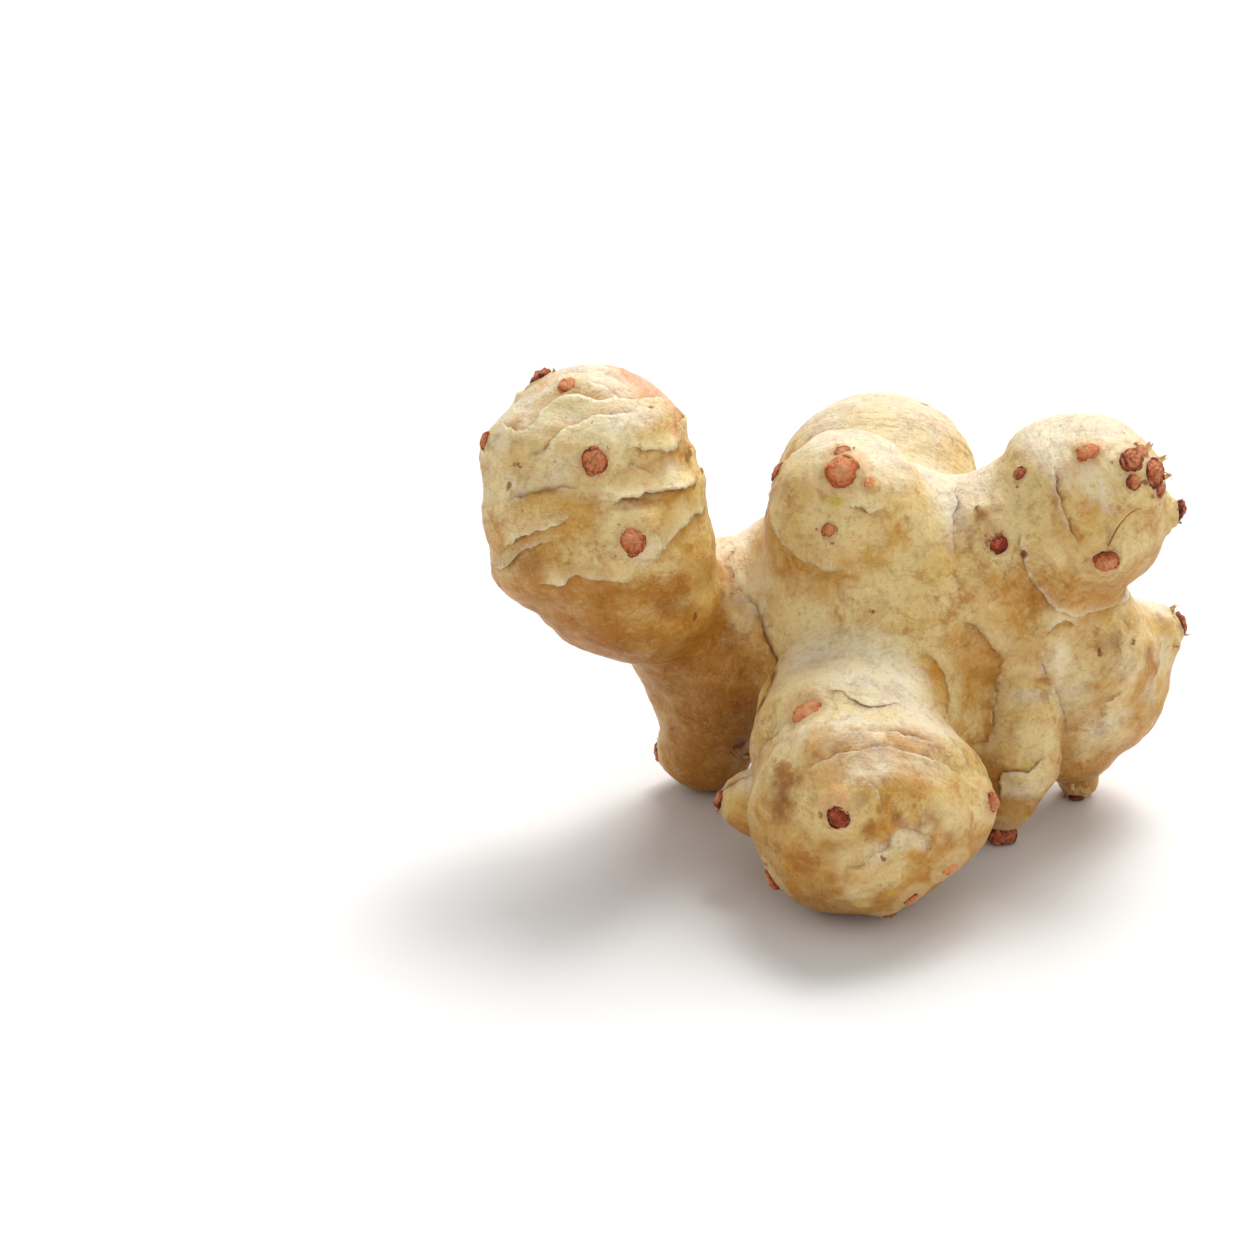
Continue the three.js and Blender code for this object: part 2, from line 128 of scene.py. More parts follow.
# Torn edges of the thin outer skin, as pixels of the photograph. The layer that ends there lies on
# the right hand of the way along the points. A flap is a pale, papery leaf scar. A tear is a tan
# layer that has gone beyond its edge, where the skin under it is pale. A fold has no colour of its
# own. Lift is in millimetres.
SEEN_EDGES = {
    "thumb top line": ("flap", 0.3, [(500, 424), (520, 433), (536, 425), (550, 408), (570, 400),
        (600, 404), (622, 398)]),
    "thumb base fold": ("fold", 0.24, [(560, 538), (536, 543), (515, 558), (500, 566), (488, 552)]),
    "thumb cap": ("flap", 0.34, [(529, 459), (548, 451), (562, 434), (590, 423), (617, 417),
        (642, 413)]),
    "thumb right flap": ("flap", 0.5, [(681, 438), (668, 448), (651, 450), (636, 446), (624, 452)]),
    "thumb left line": ("tear", 0.24, [(506, 502), (527, 497), (544, 492), (562, 489), (582, 487)]),
    "thumb wide flap": ("flap", 0.5, [(698, 476), (680, 485), (666, 489), (634, 494), (604, 506)]),
    "thumb left fold": ("flap", 0.3, [(574, 514), (548, 527), (525, 533), (504, 547)]),
    "thumb crown nick": ("flap", 0.2, [(588, 383), (606, 391), (626, 399), (648, 398), (664, 396)]),
    "thumb nick": ("fold", 0.16, [(622, 461), (636, 468), (652, 475)]),
    "thumb bud ring": ("fold", 0.16, [(648, 524), (658, 537), (657, 552), (647, 566)]),
    "thumb low fold": ("flap", 0.34, [(640, 577), (607, 578), (579, 574), (562, 581), (536, 584)]),
    "thumb side flap": ("flap", 0.4, [(705, 504), (689, 518), (678, 529), (664, 545), (648, 560)]),
    "neck tear": ("tear", 0.28, [(726, 548), (733, 580), (741, 594), (755, 609), (768, 643), (776, 658),
        (773, 677), (764, 700), (757, 720)]),
    "crown ring": ("flap", 0.34, [(848, 571), (826, 566), (804, 557), (786, 544), (777, 528),
        (773, 505), (776, 484)]),
    "crown flap": ("flap", 0.3, [(885, 503), (872, 511), (858, 506), (843, 508)]),
    "valley line": ("fold", 0.1, [(956, 484), (953, 514), (952, 541), (957, 562)]),
    "trunk tear": ("tear", 0.26, [(959, 620), (975, 630), (990, 645), (1001, 660), (995, 680),
        (994, 704), (992, 732), (970, 745)]),
    "lobe root tear": ("tear", 0.22, [(917, 656), (931, 658), (941, 673), (948, 698), (947, 716)]),
    "shoulder line": ("fold", 0.14, [(1052, 459), (1055, 484), (1062, 507), (1070, 527), (1078, 545)]),
    "shoulder foot": ("fold", 0.16, [(1130, 593), (1110, 606), (1082, 615), (1057, 607), (1042, 591),
        (1029, 573), (1024, 550), (1018, 530)]),
    "fan tear": ("tear", 0.6, [(1112, 622), (1116, 654), (1122, 680), (1110, 693), (1103, 704),
        (1101, 722), (1086, 742)]),
    "fan inner tear": ("tear", 0.34, [(1050, 684), (1060, 706), (1067, 735)]),
    "fan rim": ("tear", 0.4, [(1161, 624), (1160, 654), (1151, 680), (1142, 708)]),
    "fan left tear": ("tear", 0.26, [(1046, 640), (1042, 662), (1046, 684), (1052, 700)]),
    "fan top": ("flap", 0.2, [(1082, 628), (1062, 621), (1043, 636)]),
    "lobe crown line": ("fold", 0.08, [(902, 704), (881, 706), (862, 703), (845, 694), (825, 690)]),
    "lobe ring": ("fold", 0.1, [(803, 774), (827, 758), (854, 752), (881, 750), (910, 752), (936, 761),
        (964, 776)]),
    "lobe upper ring": ("fold", 0.07, [(838, 738), (868, 732), (904, 735), (936, 746)]),
    "lobe right line": ("fold", 0.1, [(922, 712), (944, 734), (961, 757), (974, 780)]),
    "lobe left line": ("fold", 0.1, [(755, 768), (772, 740), (790, 720)]),
    "lobe patch": ("tear", 0.2, [(936, 846), (927, 832), (905, 828), (890, 834), (883, 848), (863, 861),
        (843, 874)]),
    "finger flap": ("flap", 0.26, [(1001, 803), (1000, 788), (1003, 775), (1015, 771), (1028, 772),
        (1038, 762), (1047, 756)]),
    "lobe nick": ("fold", 0.16, [(861, 782), (876, 791), (883, 807)]),
}

# More of them on the sides that the photograph doesn't show, each partly round its lobe: its kind
# and lift, how far it is past the tip bead's middle, and from which turn to which it goes, where 0
# faces the photograph's viewer.
HIDDEN_EDGES = {
    "thumb": [("flap", 0.3, 6, 75, 190), ("tear", 0.22, 1, 120, 260), ("flap", 0.3, -4, 80, 170),
        ("tear", 0.24, -9, 130, 265), ("flap", 0.24, -13, 90, 180)],
    "back": [("flap", 0.2, 8, 100, 260), ("tear", 0.22, 3, 110, 170), ("flap", 0.28, -1, 180, 270),
        ("tear", 0.24, -7, 200, 250)],
    "keel": [("flap", 0.26, 4, 60, 210), ("tear", 0.24, -1, 200, 300)],
    "shoulder": [("flap", 0.26, 5, 110, 220), ("tear", 0.2, 0, 140, 250), ("flap", 0.24, -6, 120, 230)],
    "front": [("tear", 0.22, 4, 100, 200), ("flap", 0.24, -3, 120, 215), ("tear", 0.2, -9, 70, 120)],
    "crown": [("flap", 0.2, 0, 120, 230)],
    "heel": [("tear", 0.2, -3, 90, 250)],
}

# Patches of the skin, as pixels of the photograph, and each one's radius in millimetres. Those of the
# kind lip are whitish flakes, and the dark ones are specks. Some are painted light and shade as well as
# the skin's own colour: the wide brown and tan patches on the thumb's underside, the neck and the heel
# partly paint the shade there, the dark one in the hollow by the heel paints its shade, and some pale and
# lip patches on the trunk, the fan and the finger paint light where the skin was lit more.
SEEN_SPOTS = {
    "pale": [(812, 520, 3), (1062, 558, 3), (500, 482, 5), (535, 440, 4), (602, 442, 5), (560, 402, 4),
        (625, 525, 4), (795, 625, 6), (800, 680, 5), (776, 590, 4), (858, 525, 5), (800, 468, 4),
        (922, 520, 4), (762, 562, 5), (1004, 700, 3), (1022, 500, 4), (1130, 540, 4), (1096, 482, 3),
        (1060, 655, 4), (1077, 700, 4), (1112, 735, 4), (1108, 710, 4), (1166, 655, 3), (1035, 785, 4),
        (1022, 738, 4), (870, 655, 6), (850, 700, 4), (886, 716, 3), (895, 872, 3), (860, 893, 3),
        (880, 430, 8), (870, 592, 5), (905, 562, 4), (1092, 738, 4), (1070, 672, 4), (1020, 670, 4),
        (850, 860, 3), (950, 815, 4), (1128, 660, 4), (1120, 690, 4), (1050, 745, 3), (1028, 760, 4)],
    "tan": [(516, 470, 3), (600, 592, 7), (538, 560, 5), (650, 520, 4), (570, 516, 6), (640, 500, 5),
        (530, 530, 4), (560, 555, 4), (702, 645, 9), (740, 698, 5), (870, 613, 2), (886, 635, 2),
        (808, 484, 1.5), (976, 682, 6), (1095, 509, 2), (1046, 603, 2), (1150, 618, 3), (1150, 660, 3),
        (780, 825, 6), (830, 762, 7), (905, 782, 4), (900, 747, 4), (958, 805, 3), (886, 865, 1.5),
        (838, 850, 3), (822, 742, 4), (700, 760, 8), (1000, 598, 6), (640, 598, 5), (690, 560, 4),
        (960, 640, 4)],
    "pink": [(642, 382, 5), (664, 394, 5), (655, 376, 4), (676, 408, 3), (630, 372, 3), (672, 433, 1.6),
        (545, 382, 3), (1110, 562, 2.4), (805, 706, 3), (990, 802, 3), (836, 800, 2), (843, 470, 4),
        (1088, 456, 3)],
    "brown": [(592, 628, 11), (704, 736, 6), (883, 781, 1), (868, 828, 1.3), (802, 868, 1.5),
        (832, 876, 1.2), (897, 818, 1), (930, 842, 1.6), (860, 800, 1.2), (990, 520, 2.2),
        (776, 850, 1.4), (1115, 640, 1.4), (1060, 690, 1.2), (1090, 690, 1.2), (700, 700, 10),
        (705, 770, 9), (590, 622, 9), (530, 575, 4), (545, 600, 4), (720, 640, 4), (672, 600, 4),
        (640, 500, 2.5), (948, 838, 2.5), (933, 822, 2.5), (782, 795, 4), (838, 850, 2.5),
        (806, 858, 2), (1102, 648, 1.2), (1148, 655, 1.5), (1160, 622, 2), (1040, 600, 2.5)],
    "dark": [(516, 466, 1.3), (996, 735, 0.6), (998, 545, 2.2), (1024, 554, 0.8), (982, 511, 1.3),
        (1133, 642, 0.8), (1124, 590, 1.5), (740, 745, 1.4), (918, 492, 0.6), (872, 612, 0.6)],
    "lip": [(1058, 662, 2.8), (1066, 692, 3), (1096, 728, 2.4), (1112, 720, 2.2), (1160, 652, 2.4),
        (1148, 690, 2), (1100, 490, 2.4), (1090, 478, 1.6), (1108, 506, 1.6), (500, 440, 2.6),
        (516, 484, 2.4), (642, 552, 2), (906, 836, 2.2), (922, 846, 1.4), (880, 852, 1.6),
        (872, 656, 4), (745, 602, 3), (764, 566, 3), (800, 652, 3), (1022, 790, 2.2), (1126, 668, 1.8),
        (560, 470, 2.4), (610, 428, 2.6), (670, 470, 2)],
    "yellow": [(1026, 767, 1), (862, 904, 0.8), (890, 893, 0.8), (871, 487, 0.8), (835, 500, 1.2)],
}

# Shreds of dry skin: their root's pixel, the way they point in the picture, right and down, and
# their length and width in millimetres.
SEEN_SHREDS = {
    "thumb flaps": [(684, 450, 1, -0.1, 0.9, 3.4), (690, 482, 1, 0.1, 0.7, 2.6)],
    "shoulder cluster": [
        (1147, 452, 0.5, -0.8, 1.3, 1.3), (1157, 462, 0.9, -0.5, 1.4, 1.2),
        (1161, 476, 1, 0.1, 1.2, 1.2), (1158, 489, 0.8, 0.6, 1.1, 1.0),
        (1136, 449, 0.1, -1, 0.9, 1.2), (1121, 470, -0.7, 0.4, 1.0, 1.2)],
    "nub": [(1180, 504, 0.7, -0.8, 0.9, 1.0), (1181, 520, 0.8, 0.5, 0.8, 1.0)],
    "fan tip": [
        (1172, 611, 0.6, -0.8, 1.1, 1.2), (1182, 620, 1, -0.3, 1.1, 1.0),
        (1181, 632, 1, 0.3, 1.2, 1.0), (1174, 643, 0.7, 0.8, 0.8, 1.0)],
    "crease": [(745, 762, 0.1, -1, 1.6, 2.6)],
    "wart": [(724, 784, -0.9, -0.4, 0.8, 1.2), (723, 798, -0.9, 0.5, 0.8, 1.2)],
    "spur": [(1074, 786, -0.3, 1, 1.0, 1.0), (1083, 783, 0.5, 1, 0.8, 1.0)],
    "finger foot": [(996, 836, -0.6, 0.9, 0.7, 1.0), (1018, 822, 1, -0.2, 0.8, 1.0)],
    "thumb cap": [(594, 449, 0.1, 0.9, 1.0, 3.0)],
    "finger": [(994, 806, 0.9, -0.2, 0.7, 1.2)],
}
SHRED_THICKNESS = 0.09

# Small knobs of the skin, as pixels, with each one's radius and height in millimetres.
SEEN_KNOBS = {
    "crown, left": (806, 484, 1.1, 0.5),
    "thumb flap": (694, 450, 1.3, 0.6),
    "crown, right": (871, 485, 1.0, 0.3),
    "front, left": (838, 797, 1.5, 0.5),
    "front, right": (850, 798, 1.2, 0.4),
    "front, top": (880, 741, 0.8, 0.3),
    "scar": (987, 521, 2.6, 1.7),
    "scar, top": (983, 511, 1.2, 0.7),
    "cluster": (1140, 468, 2.6, 0.6),
    "thumb, top left": (516, 393, 0.9, 0.5),
    "thumb, left": (486, 442, 1.0, 0.5),
    "thumb, middle": (640, 520, 1.3, 0.35),
    "thumb, right": (650, 524, 1.2, 0.4),
    "front root": (812, 690, 1.8, 0.3),
    "finger": (1022, 779, 1.2, 0.3),
    "fan, left": (1118, 640, 1.2, 0.5),
    "fan, right": (1150, 640, 1.0, 0.5),
    "fan tip": (1168, 620, 1.0, 0.5),
}

# Root hairs: each one's thickness, and its path as pixels, with the height off the skin.
SEEN_HAIRS = {
    "shoulder": (0.34, [(1107, 552, -0.2), (1108, 541, 0.5), (1115, 526, 0.8), (1127, 512, 0.8),
        (1140, 508, 0.3)]),
    "crease, long": (0.16, [(730, 742, -0.2), (736, 752, 0.8), (744, 760, 1.0), (752, 766, 0.5)]),
    "crease, short": (0.14, [(736, 745, -0.2), (741, 750, 0.9), (745, 757, 1.2)]),
    "crease, side": (0.14, [(726, 749, -0.2), (735, 755, 0.7), (741, 763, 0.8)]),
    "cluster": (0.18, [(1158, 470, 0), (1164, 474, 1.0), (1167, 481, 1.2)]),
}

# Hairs on the hidden sides: a lobe, and the turn and rise of the root from its tip bead's middle.
HIDDEN_HAIRS = [("thumb", 95, 20), ("back", 60, 10), ("back", 120, 30), ("keel", 70, -20),
                ("keel", 130, 0), ("shoulder", 70, 10), ("heel", 120, 0)]

HAIR_LEAP = 2.2  # a hair's next place is on the same lobe when it is within this many times its step
EDGE_REACH = 5.0  # how far from its line a torn edge still shapes the skin

# How the skin is found along a ray.
PACE = 0.9  # the share of its distance to the skin by which a point moves at each step
STEPS_OUT = 40  # from inside a lobe
STEPS_IN = 90  # from the camera
LEAST_STEP = 0.3  # of those from the camera
ON_SKIN = 0.02  # a point this near to the skin has reached it
RAY_START = 80.0  # how far before the picture's middle the search from the camera begins


# The tuber's field: the distance from a place to the skin, less than 0 inside.
def flow(a, b, blend):
    """A smooth minimum of two distances, which flow together over a width of blend."""
    h = np.maximum(blend - np.abs(a - b), 0) / blend
    return np.minimum(a, b) - h * h * blend / 4


def stretch_distance(x, y, z, start, end):
    """Distance to the stretch between two beads, whose radius eases from one to the other."""
    ax, ay, az, ar = start
    dx, dy, dz = end[0] - ax, end[1] - ay, end[2] - az
    along = ((x - ax) * dx + (y - ay) * dy + (z - az) * dz) / (dx * dx + dy * dy + dz * dz)
    t = np.clip(along, 0, 1)
    gap = np.sqrt((x - ax - t * dx) ** 2 + (y - ay - t * dy) ** 2 + (z - az - t * dz) ** 2)
    return gap - (ar + (end[3] - ar) * t * t * (3 - 2 * t))


def beads_distance(x, y, z, beads):
    distance = stretch_distance(x, y, z, beads[0], beads[1])
    for start, end in zip(beads[1:], beads[2:]):
        distance = flow(distance, stretch_distance(x, y, z, start, end), BEAD_BLEND)
    return distance


def unit(vectors):
    """Each vector at a length of 1."""
    return vectors / np.linalg.norm(vectors, axis=-1, keepdims=True)


def lobe_axis(beads):
    """The middle of a lobe's tip bead, and the direction of its last stretch."""
    before, tip = np.array(beads[-2:], float)[:, :3]
    return tip, unit(tip - before)


def ridge_sway(x, y, z):
    """How far a ridge leaves its plane here, along its lobe."""
    return RING_SWAY * np.sin(x / 5.3 + z / 8.1) * np.cos(y / 5.9 - z / 10.7 + 0.6)


def lobe_distance(x, y, z, lobe):
    """The distance to a lobe, with its ridges, whose crests are where place is a whole number."""
    distance = beads_distance(x, y, z, lobe["beads"])
    if "ring" in lobe:
        tip, axis = lobe_axis(lobe["beads"])
        along = (x - tip[0]) * axis[0] + (y - tip[1]) * axis[1] + (z - tip[2]) * axis[2]
        place = (along - lobe["ring"] + ridge_sway(x, y, z)) / RING_PITCH
        distance = distance - RING_HEIGHT * np.cos(2 * np.pi * place)
    return distance


def lump_lift(x, y, z):
    across = np.sin(x / 5.1 + y / 9.3 + 0.5)
    along = np.sin(y / 5.7 - z / 7.9 + 1.7)
    up = np.sin(z / 4.9 + x / 8.7 + 2.4)
    return LUMP_HEIGHT * (across + along + up)


def tuber_distance(points):
    x, y, z = points[..., 0], points[..., 1], points[..., 2]
    distance = None
    for lobe in LOBES.values():
        beyond = lobe_distance(x, y, z, lobe)
        distance = beyond if distance is None else flow(distance, beyond, lobe["blend"])
    return distance - lump_lift(x, y, z)


def slope(points):
    """The unit outward direction at each point."""
    step = 0.05
    sides = [tuber_distance(points + step * e) - tuber_distance(points - step * e) for e in np.eye(3)]
    return unit(np.stack(sides, -1))


def marched(at, ray):
    """The places where rays from inside the tuber reach its skin."""
    for _ in range(STEPS_OUT):
        at = at - PACE * tuber_distance(at)[..., None] * ray
    return at


def skin_place(lobe, turn, rise):
    """The place on the skin that is seen at a turn and a rise from inside the lobe's tip bead."""
    a, e = np.radians(turn), np.radians(rise)
    ray = np.stack([np.cos(e) * np.cos(a), np.cos(e) * np.sin(a), np.sin(e) + 0 * a], -1)
    tip, _ = lobe_axis(LOBES[lobe]["beads"])
    return marched(tip + 0 * ray, ray)


# The net of the skin.
def bead_box(beads, margin):
    """The two corners of a box round beads, with a margin."""
    beads = np.array(beads, float)
    low, high = beads[:, :3] - beads[:, 3:] - margin, beads[:, :3] + beads[:, 3:] + margin
    return np.stack([low.min(0), high.max(0)])


def field_grid(low, counts):
    """The field on a grid, with each lobe worked out only near itself."""
    places = [low[d] + CELL * np.arange(counts[d], dtype=np.float32) for d in range(3)]
    values = np.full(counts, FAR_OFF, np.float32)
    for lobe in LOBES.values():
        box = bead_box(lobe["beads"], NET_MARGIN)
        cut = [slice(*np.searchsorted(places[d], box[:, d])) for d in range(3)]
        x, y, z = np.ix_(*(places[d][cut[d]] for d in range(3)))
        part = values[tuple(cut)]
        values[tuple(cut)] = flow(part, lobe_distance(x, y, z, lobe), lobe["blend"])
    x, y, z = np.ix_(*places)
    return values - lump_lift(x, y, z)


def surface_net(values, low):
    """The points and the quads of a skin through a grid: one point for each cell it passes."""
    cells = tuple(n - 1 for n in values.shape)
    total = np.zeros(cells + (3,), np.float32)
    crossings = np.zeros(cells, np.int8)
    inside = values < 0
    crossed = []
    for axis in range(3):
        head, tail = [slice(None)] * 3, [slice(None)] * 3
        head[axis], tail[axis] = slice(None, -1), slice(1, None)
        a, b = values[tuple(head)], values[tuple(tail)]
        cross = inside[tuple(head)] != inside[tuple(tail)]
        crossed.append(cross)
        t = np.where(cross, a / np.where(cross, a - b, 1), 0)
        u, v = (d for d in range(3) if d != axis)
        for du, dv in np.ndindex(2, 2):
            cut = [slice(None)] * 3
            cut[u], cut[v] = slice(du, du + cells[u]), slice(dv, dv + cells[v])
            hit = cross[tuple(cut)]
            crossings += hit
            total[..., axis] += t[tuple(cut)]
            total[..., u] += du * hit
            total[..., v] += dv * hit
    used = crossings > 0
    index = np.full(cells, -1, np.int64)
    index[used] = np.arange(used.sum())
    corner = np.stack(np.nonzero(used), -1)
    points = low + CELL * (corner + total[used] / crossings[used][:, None])
    quads = [quads_round(axis, crossed[axis], inside, index) for axis in range(3)]
    return points.astype(float), np.concatenate(quads)


def quads_round(axis, cross, inside, index):
    """A quad, with its front outward, round each step along an axis that crosses the skin."""
    u, v = (axis + 1) % 3, (axis + 2) % 3
    at = np.stack(np.nonzero(cross), -1)
    limit = index.shape
    at = at[(at[:, u] > 0) & (at[:, v] > 0) & (at[:, u] < limit[u]) & (at[:, v] < limit[v])]
    ring = []
    for du, dv in ((1, 1), (0, 1), (0, 0), (1, 0)):
        cell = at.copy()
        cell[:, u] -= du
        cell[:, v] -= dv
        ring.append(index[tuple(cell.T)])
    quad = np.stack(ring, -1)
    out = inside[tuple(at.T)]
    return np.where(out[:, None], quad, quad[:, ::-1])


def eased(points, quads, rounds):
    """Moves the net's points towards their neighbours' mean, and back onto the skin."""
    ends = np.concatenate([quads[:, [i, (i + 1) % 4]] for i in range(4)])
    for _ in range(rounds):
        total = np.zeros_like(points)
        for one, other in ((0, 1), (1, 0)):
            for d in range(3):
                total[:, d] += np.bincount(ends[:, one], points[ends[:, other], d], len(points))
        count = np.bincount(ends.ravel(), minlength=len(points))
        points = onto_skin((points + total / count[:, None]) / 2, 1)
    return points


def triangles_of(points, quads):
    """Two triangles for each quad, across its shorter diagonal."""
    a, b, c, d = quads.T
    short = np.linalg.norm(points[a] - points[c], axis=1) < np.linalg.norm(points[b] - points[d], axis=1)
    one = np.where(short[:, None], np.stack([a, b, c], 1), np.stack([b, c, d], 1))
    two = np.where(short[:, None], np.stack([a, c, d], 1), np.stack([b, d, a], 1))
    return np.concatenate([one, two])


def skin_net():
    low, high = bead_box([bead for lobe in LOBES.values() for bead in lobe["beads"]], NET_ROOM)
    counts = tuple(int(n) for n in np.ceil((high - low) / CELL).astype(int) + 1)
    points, quads = surface_net(field_grid(low.astype(np.float32), counts), low)
    points = eased(points, quads, 2)
    return points, triangles_of(points, quads)


# The photograph's view, and places that are seen in it.
RIGHT = np.array([1.0, 0, 0])  # the picture's right


def view_axes():
    """The camera's eye, the middle of its picture, and the picture's up and back directions."""
    up = np.array([0, math.sin(ELEVATION), math.cos(ELEVATION)])
    back = np.array([0, -math.cos(ELEVATION), math.sin(ELEVATION)])
    middle = np.array(GROUND_POINT) + up * (GROUND_ROW - FRAME_PIXELS / 2) * MM_PER_PIXEL
    return middle + back * CAMERA_DISTANCE, middle, up, back


def seen_place(pixels):
    """The places on the skin under the photograph's pixels, or the nearest skin beside them."""
    eye, middle, up, _ = view_axes()
    offset = (np.array(pixels, float) - FRAME_PIXELS / 2) * MM_PER_PIXEL
    aim = middle + offset[:, :1] * RIGHT - offset[:, 1:] * up
    ray = unit(aim - eye)
    reach = np.full(len(ray), CAMERA_DISTANCE - RAY_START)
    best = np.full(len(ray), np.inf)
    found = reach.copy()
    for _ in range(STEPS_IN):
        beyond = tuber_distance(eye + reach[:, None] * ray)
        nearer = (beyond < best) & (best > ON_SKIN)
        found = np.where(nearer, reach, found)
        best = np.where(nearer, beyond, best)
        reach = reach + np.where(best > ON_SKIN, np.maximum(beyond, LEAST_STEP) * PACE, 0)
    return onto_skin(eye + found[:, None] * ray)


def onto_skin(points, rounds=3):
    """Moves points that are near the skin onto it."""
    for _ in range(rounds):
        points = points - tuber_distance(points)[:, None] * slope(points)
    return points


def lobe_points(lobe, along, turns):
    """Places round a lobe: along its axis from the tip bead, and at turns from the viewer's side."""
    tip, axis = lobe_axis(LOBES[lobe]["beads"])
    front = unit(np.array([0, -1.0, 0]) + axis[1] * axis)
    side = np.cross(axis, front)
    a = np.radians(turns)[:, None]
    ray = np.cos(a) * front + np.sin(a) * side
    return marched(tip + along[:, None] * axis, ray)


# Torn edges, which are cut into the net.
EDGE_TAPER = 3.0  # the length over which an edge rises from its ends
FOLD_TINT = 0.12  # how strong the colours beside a fold are, for those of a tear
ON_LINE = 0.001  # how far from the line its own points are taken to be, each on its own side
LEAST_GAP = 1e-6  # no other point is taken to be nearer to the line than this
CUT_END = 0.12  # a cut leaves this share of a triangle's side at least, at both of its ends
KEY_STEP = 10_000_000  # more than the net has points
FIRST_SEED = 20  # of the edges' noise


def smooth_line(points, step=0.4):
    """A rounded line through the points, with a point every step."""
    points = np.asarray(points, float)
    ends = np.concatenate([[2 * points[0] - points[1]], points, [2 * points[-1] - points[-2]]])
    line = []
    for a, b, c, d in zip(ends, ends[1:], ends[2:], ends[3:]):
        count = max(int(np.linalg.norm(c - b) / step), 1)
        t = (np.arange(count) / count)[:, None]
        line.append(((-t + 2 * t ** 2 - t ** 3) * a + (2 - 5 * t ** 2 + 3 * t ** 3) * b
                     + (t + 4 * t ** 2 - 3 * t ** 3) * c + (t ** 3 - t ** 2) * d) / 2)
    return np.concatenate(line + [points[-1:]])


class Edge:
    """A torn edge: its line on the skin, the way to its layer's side, and its kind and lift."""

    def __init__(self, kind, lift, places, seed):
        self.kind, self.lift, self.seed = kind, lift, seed
        self.line = onto_skin(smooth_line(places))
        self.side = unit(np.cross(np.gradient(self.line, axis=0), slope(self.line)))
        steps = np.linalg.norm(np.diff(self.line, axis=0), axis=1)
        run = np.concatenate([[0], np.cumsum(steps)])
        ends = np.minimum(run, run[-1] - run)
        waver = np.clip(0.9 + 0.8 * wrinkle(self.line, 4.5, seed + 9, 2), 0.4, 1)
        self.strength = np.clip(ends / min(EDGE_TAPER, run[-1] / 3), 0, 1) * waver

    def near(self, points):
        """The points within reach: which they are, how far on the layer's side, the strength there,
        and the nearest place of the line."""
        low, high = self.line.min(0) - EDGE_REACH, self.line.max(0) + EDGE_REACH
        which = np.nonzero(((points > low) & (points < high)).all(1))[0]
        gaps = np.linalg.norm(points[which][:, None] - self.line, axis=2)
        nearest = gaps.argmin(1)
        close = gaps.min(1) < EDGE_REACH
        which, nearest = which[close], nearest[close]
        place = points[which]
        across = ((place - self.line[nearest]) * self.side[nearest]).sum(1)
        ragged = 0.5 * wrinkle(place, 3.4, self.seed, 2) + 0.24 * wrinkle(place, 1.1, self.seed + 5, 2)
        return which, across + ragged, self.strength[nearest], nearest

    def step(self, layer, far):
        """How far the skin is lifted on the layer, sharply and broadly, and pressed in beside it."""
        above = 0.5 * np.exp(-far / 0.9) + 0.8 * np.exp(-far / 3)
        return self.lift * np.where(layer, above, -0.45 * np.exp(-far / 1.6))

    def colours(self, layer, far, strength, fade):
        """How strongly each colour shows beside the edge: thin lines, with a painted shadow on the low
        side and a lip that is partly a painted highlight, and broad bands.
        """
        flap = self.kind != "tear"
        tint = FOLD_TINT if self.kind == "fold" else 1.0
        band = tint * strength * np.clip(1.5 - 1.5 * far / EDGE_REACH, 0, 1)
        return {
            "lip" if flap else "rust": np.where(layer, np.exp(-far / 0.5), 0) * fade,
            "shade": np.where(layer, 0, np.exp(-far / 0.6)) * fade,
            "pale": np.where(layer == flap, np.exp(-(far / 4) ** 2), 0) * band,
            "tan": np.where(layer == flap, 0, np.exp(-(far / 3.5) ** 2)) * band,
        }


def all_edges():
    edges = []
    for kind, lift, pixels in SEEN_EDGES.values():
        edges.append(Edge(kind, lift, seen_place(pixels), FIRST_SEED + len(edges)))
    for lobe, rows in HIDDEN_EDGES.items():
        for kind, lift, along, start, end in rows:
            turns = np.linspace(start, end, 12)
            sway = 1.3 * np.sin(np.radians(turns * 2.3) + len(edges))
            places = lobe_points(lobe, along + sway, turns)
            edges.append(Edge(kind, lift, places, FIRST_SEED + len(edges)))
    return edges


def pair_key(a, b):
    return np.minimum(a, b).astype(np.int64) * KEY_STEP + np.maximum(a, b)


# How a triangle is parted, once with one side cut and once with its first and last side cut: 0 to 2
# are its corners, and 3 to 5 are the new points on its sides.
ONE_CUT = ([0, 3, 2], [3, 1, 2])
TWO_CUTS = ([0, 3, 5], [3, 1, 2], [3, 2, 5])


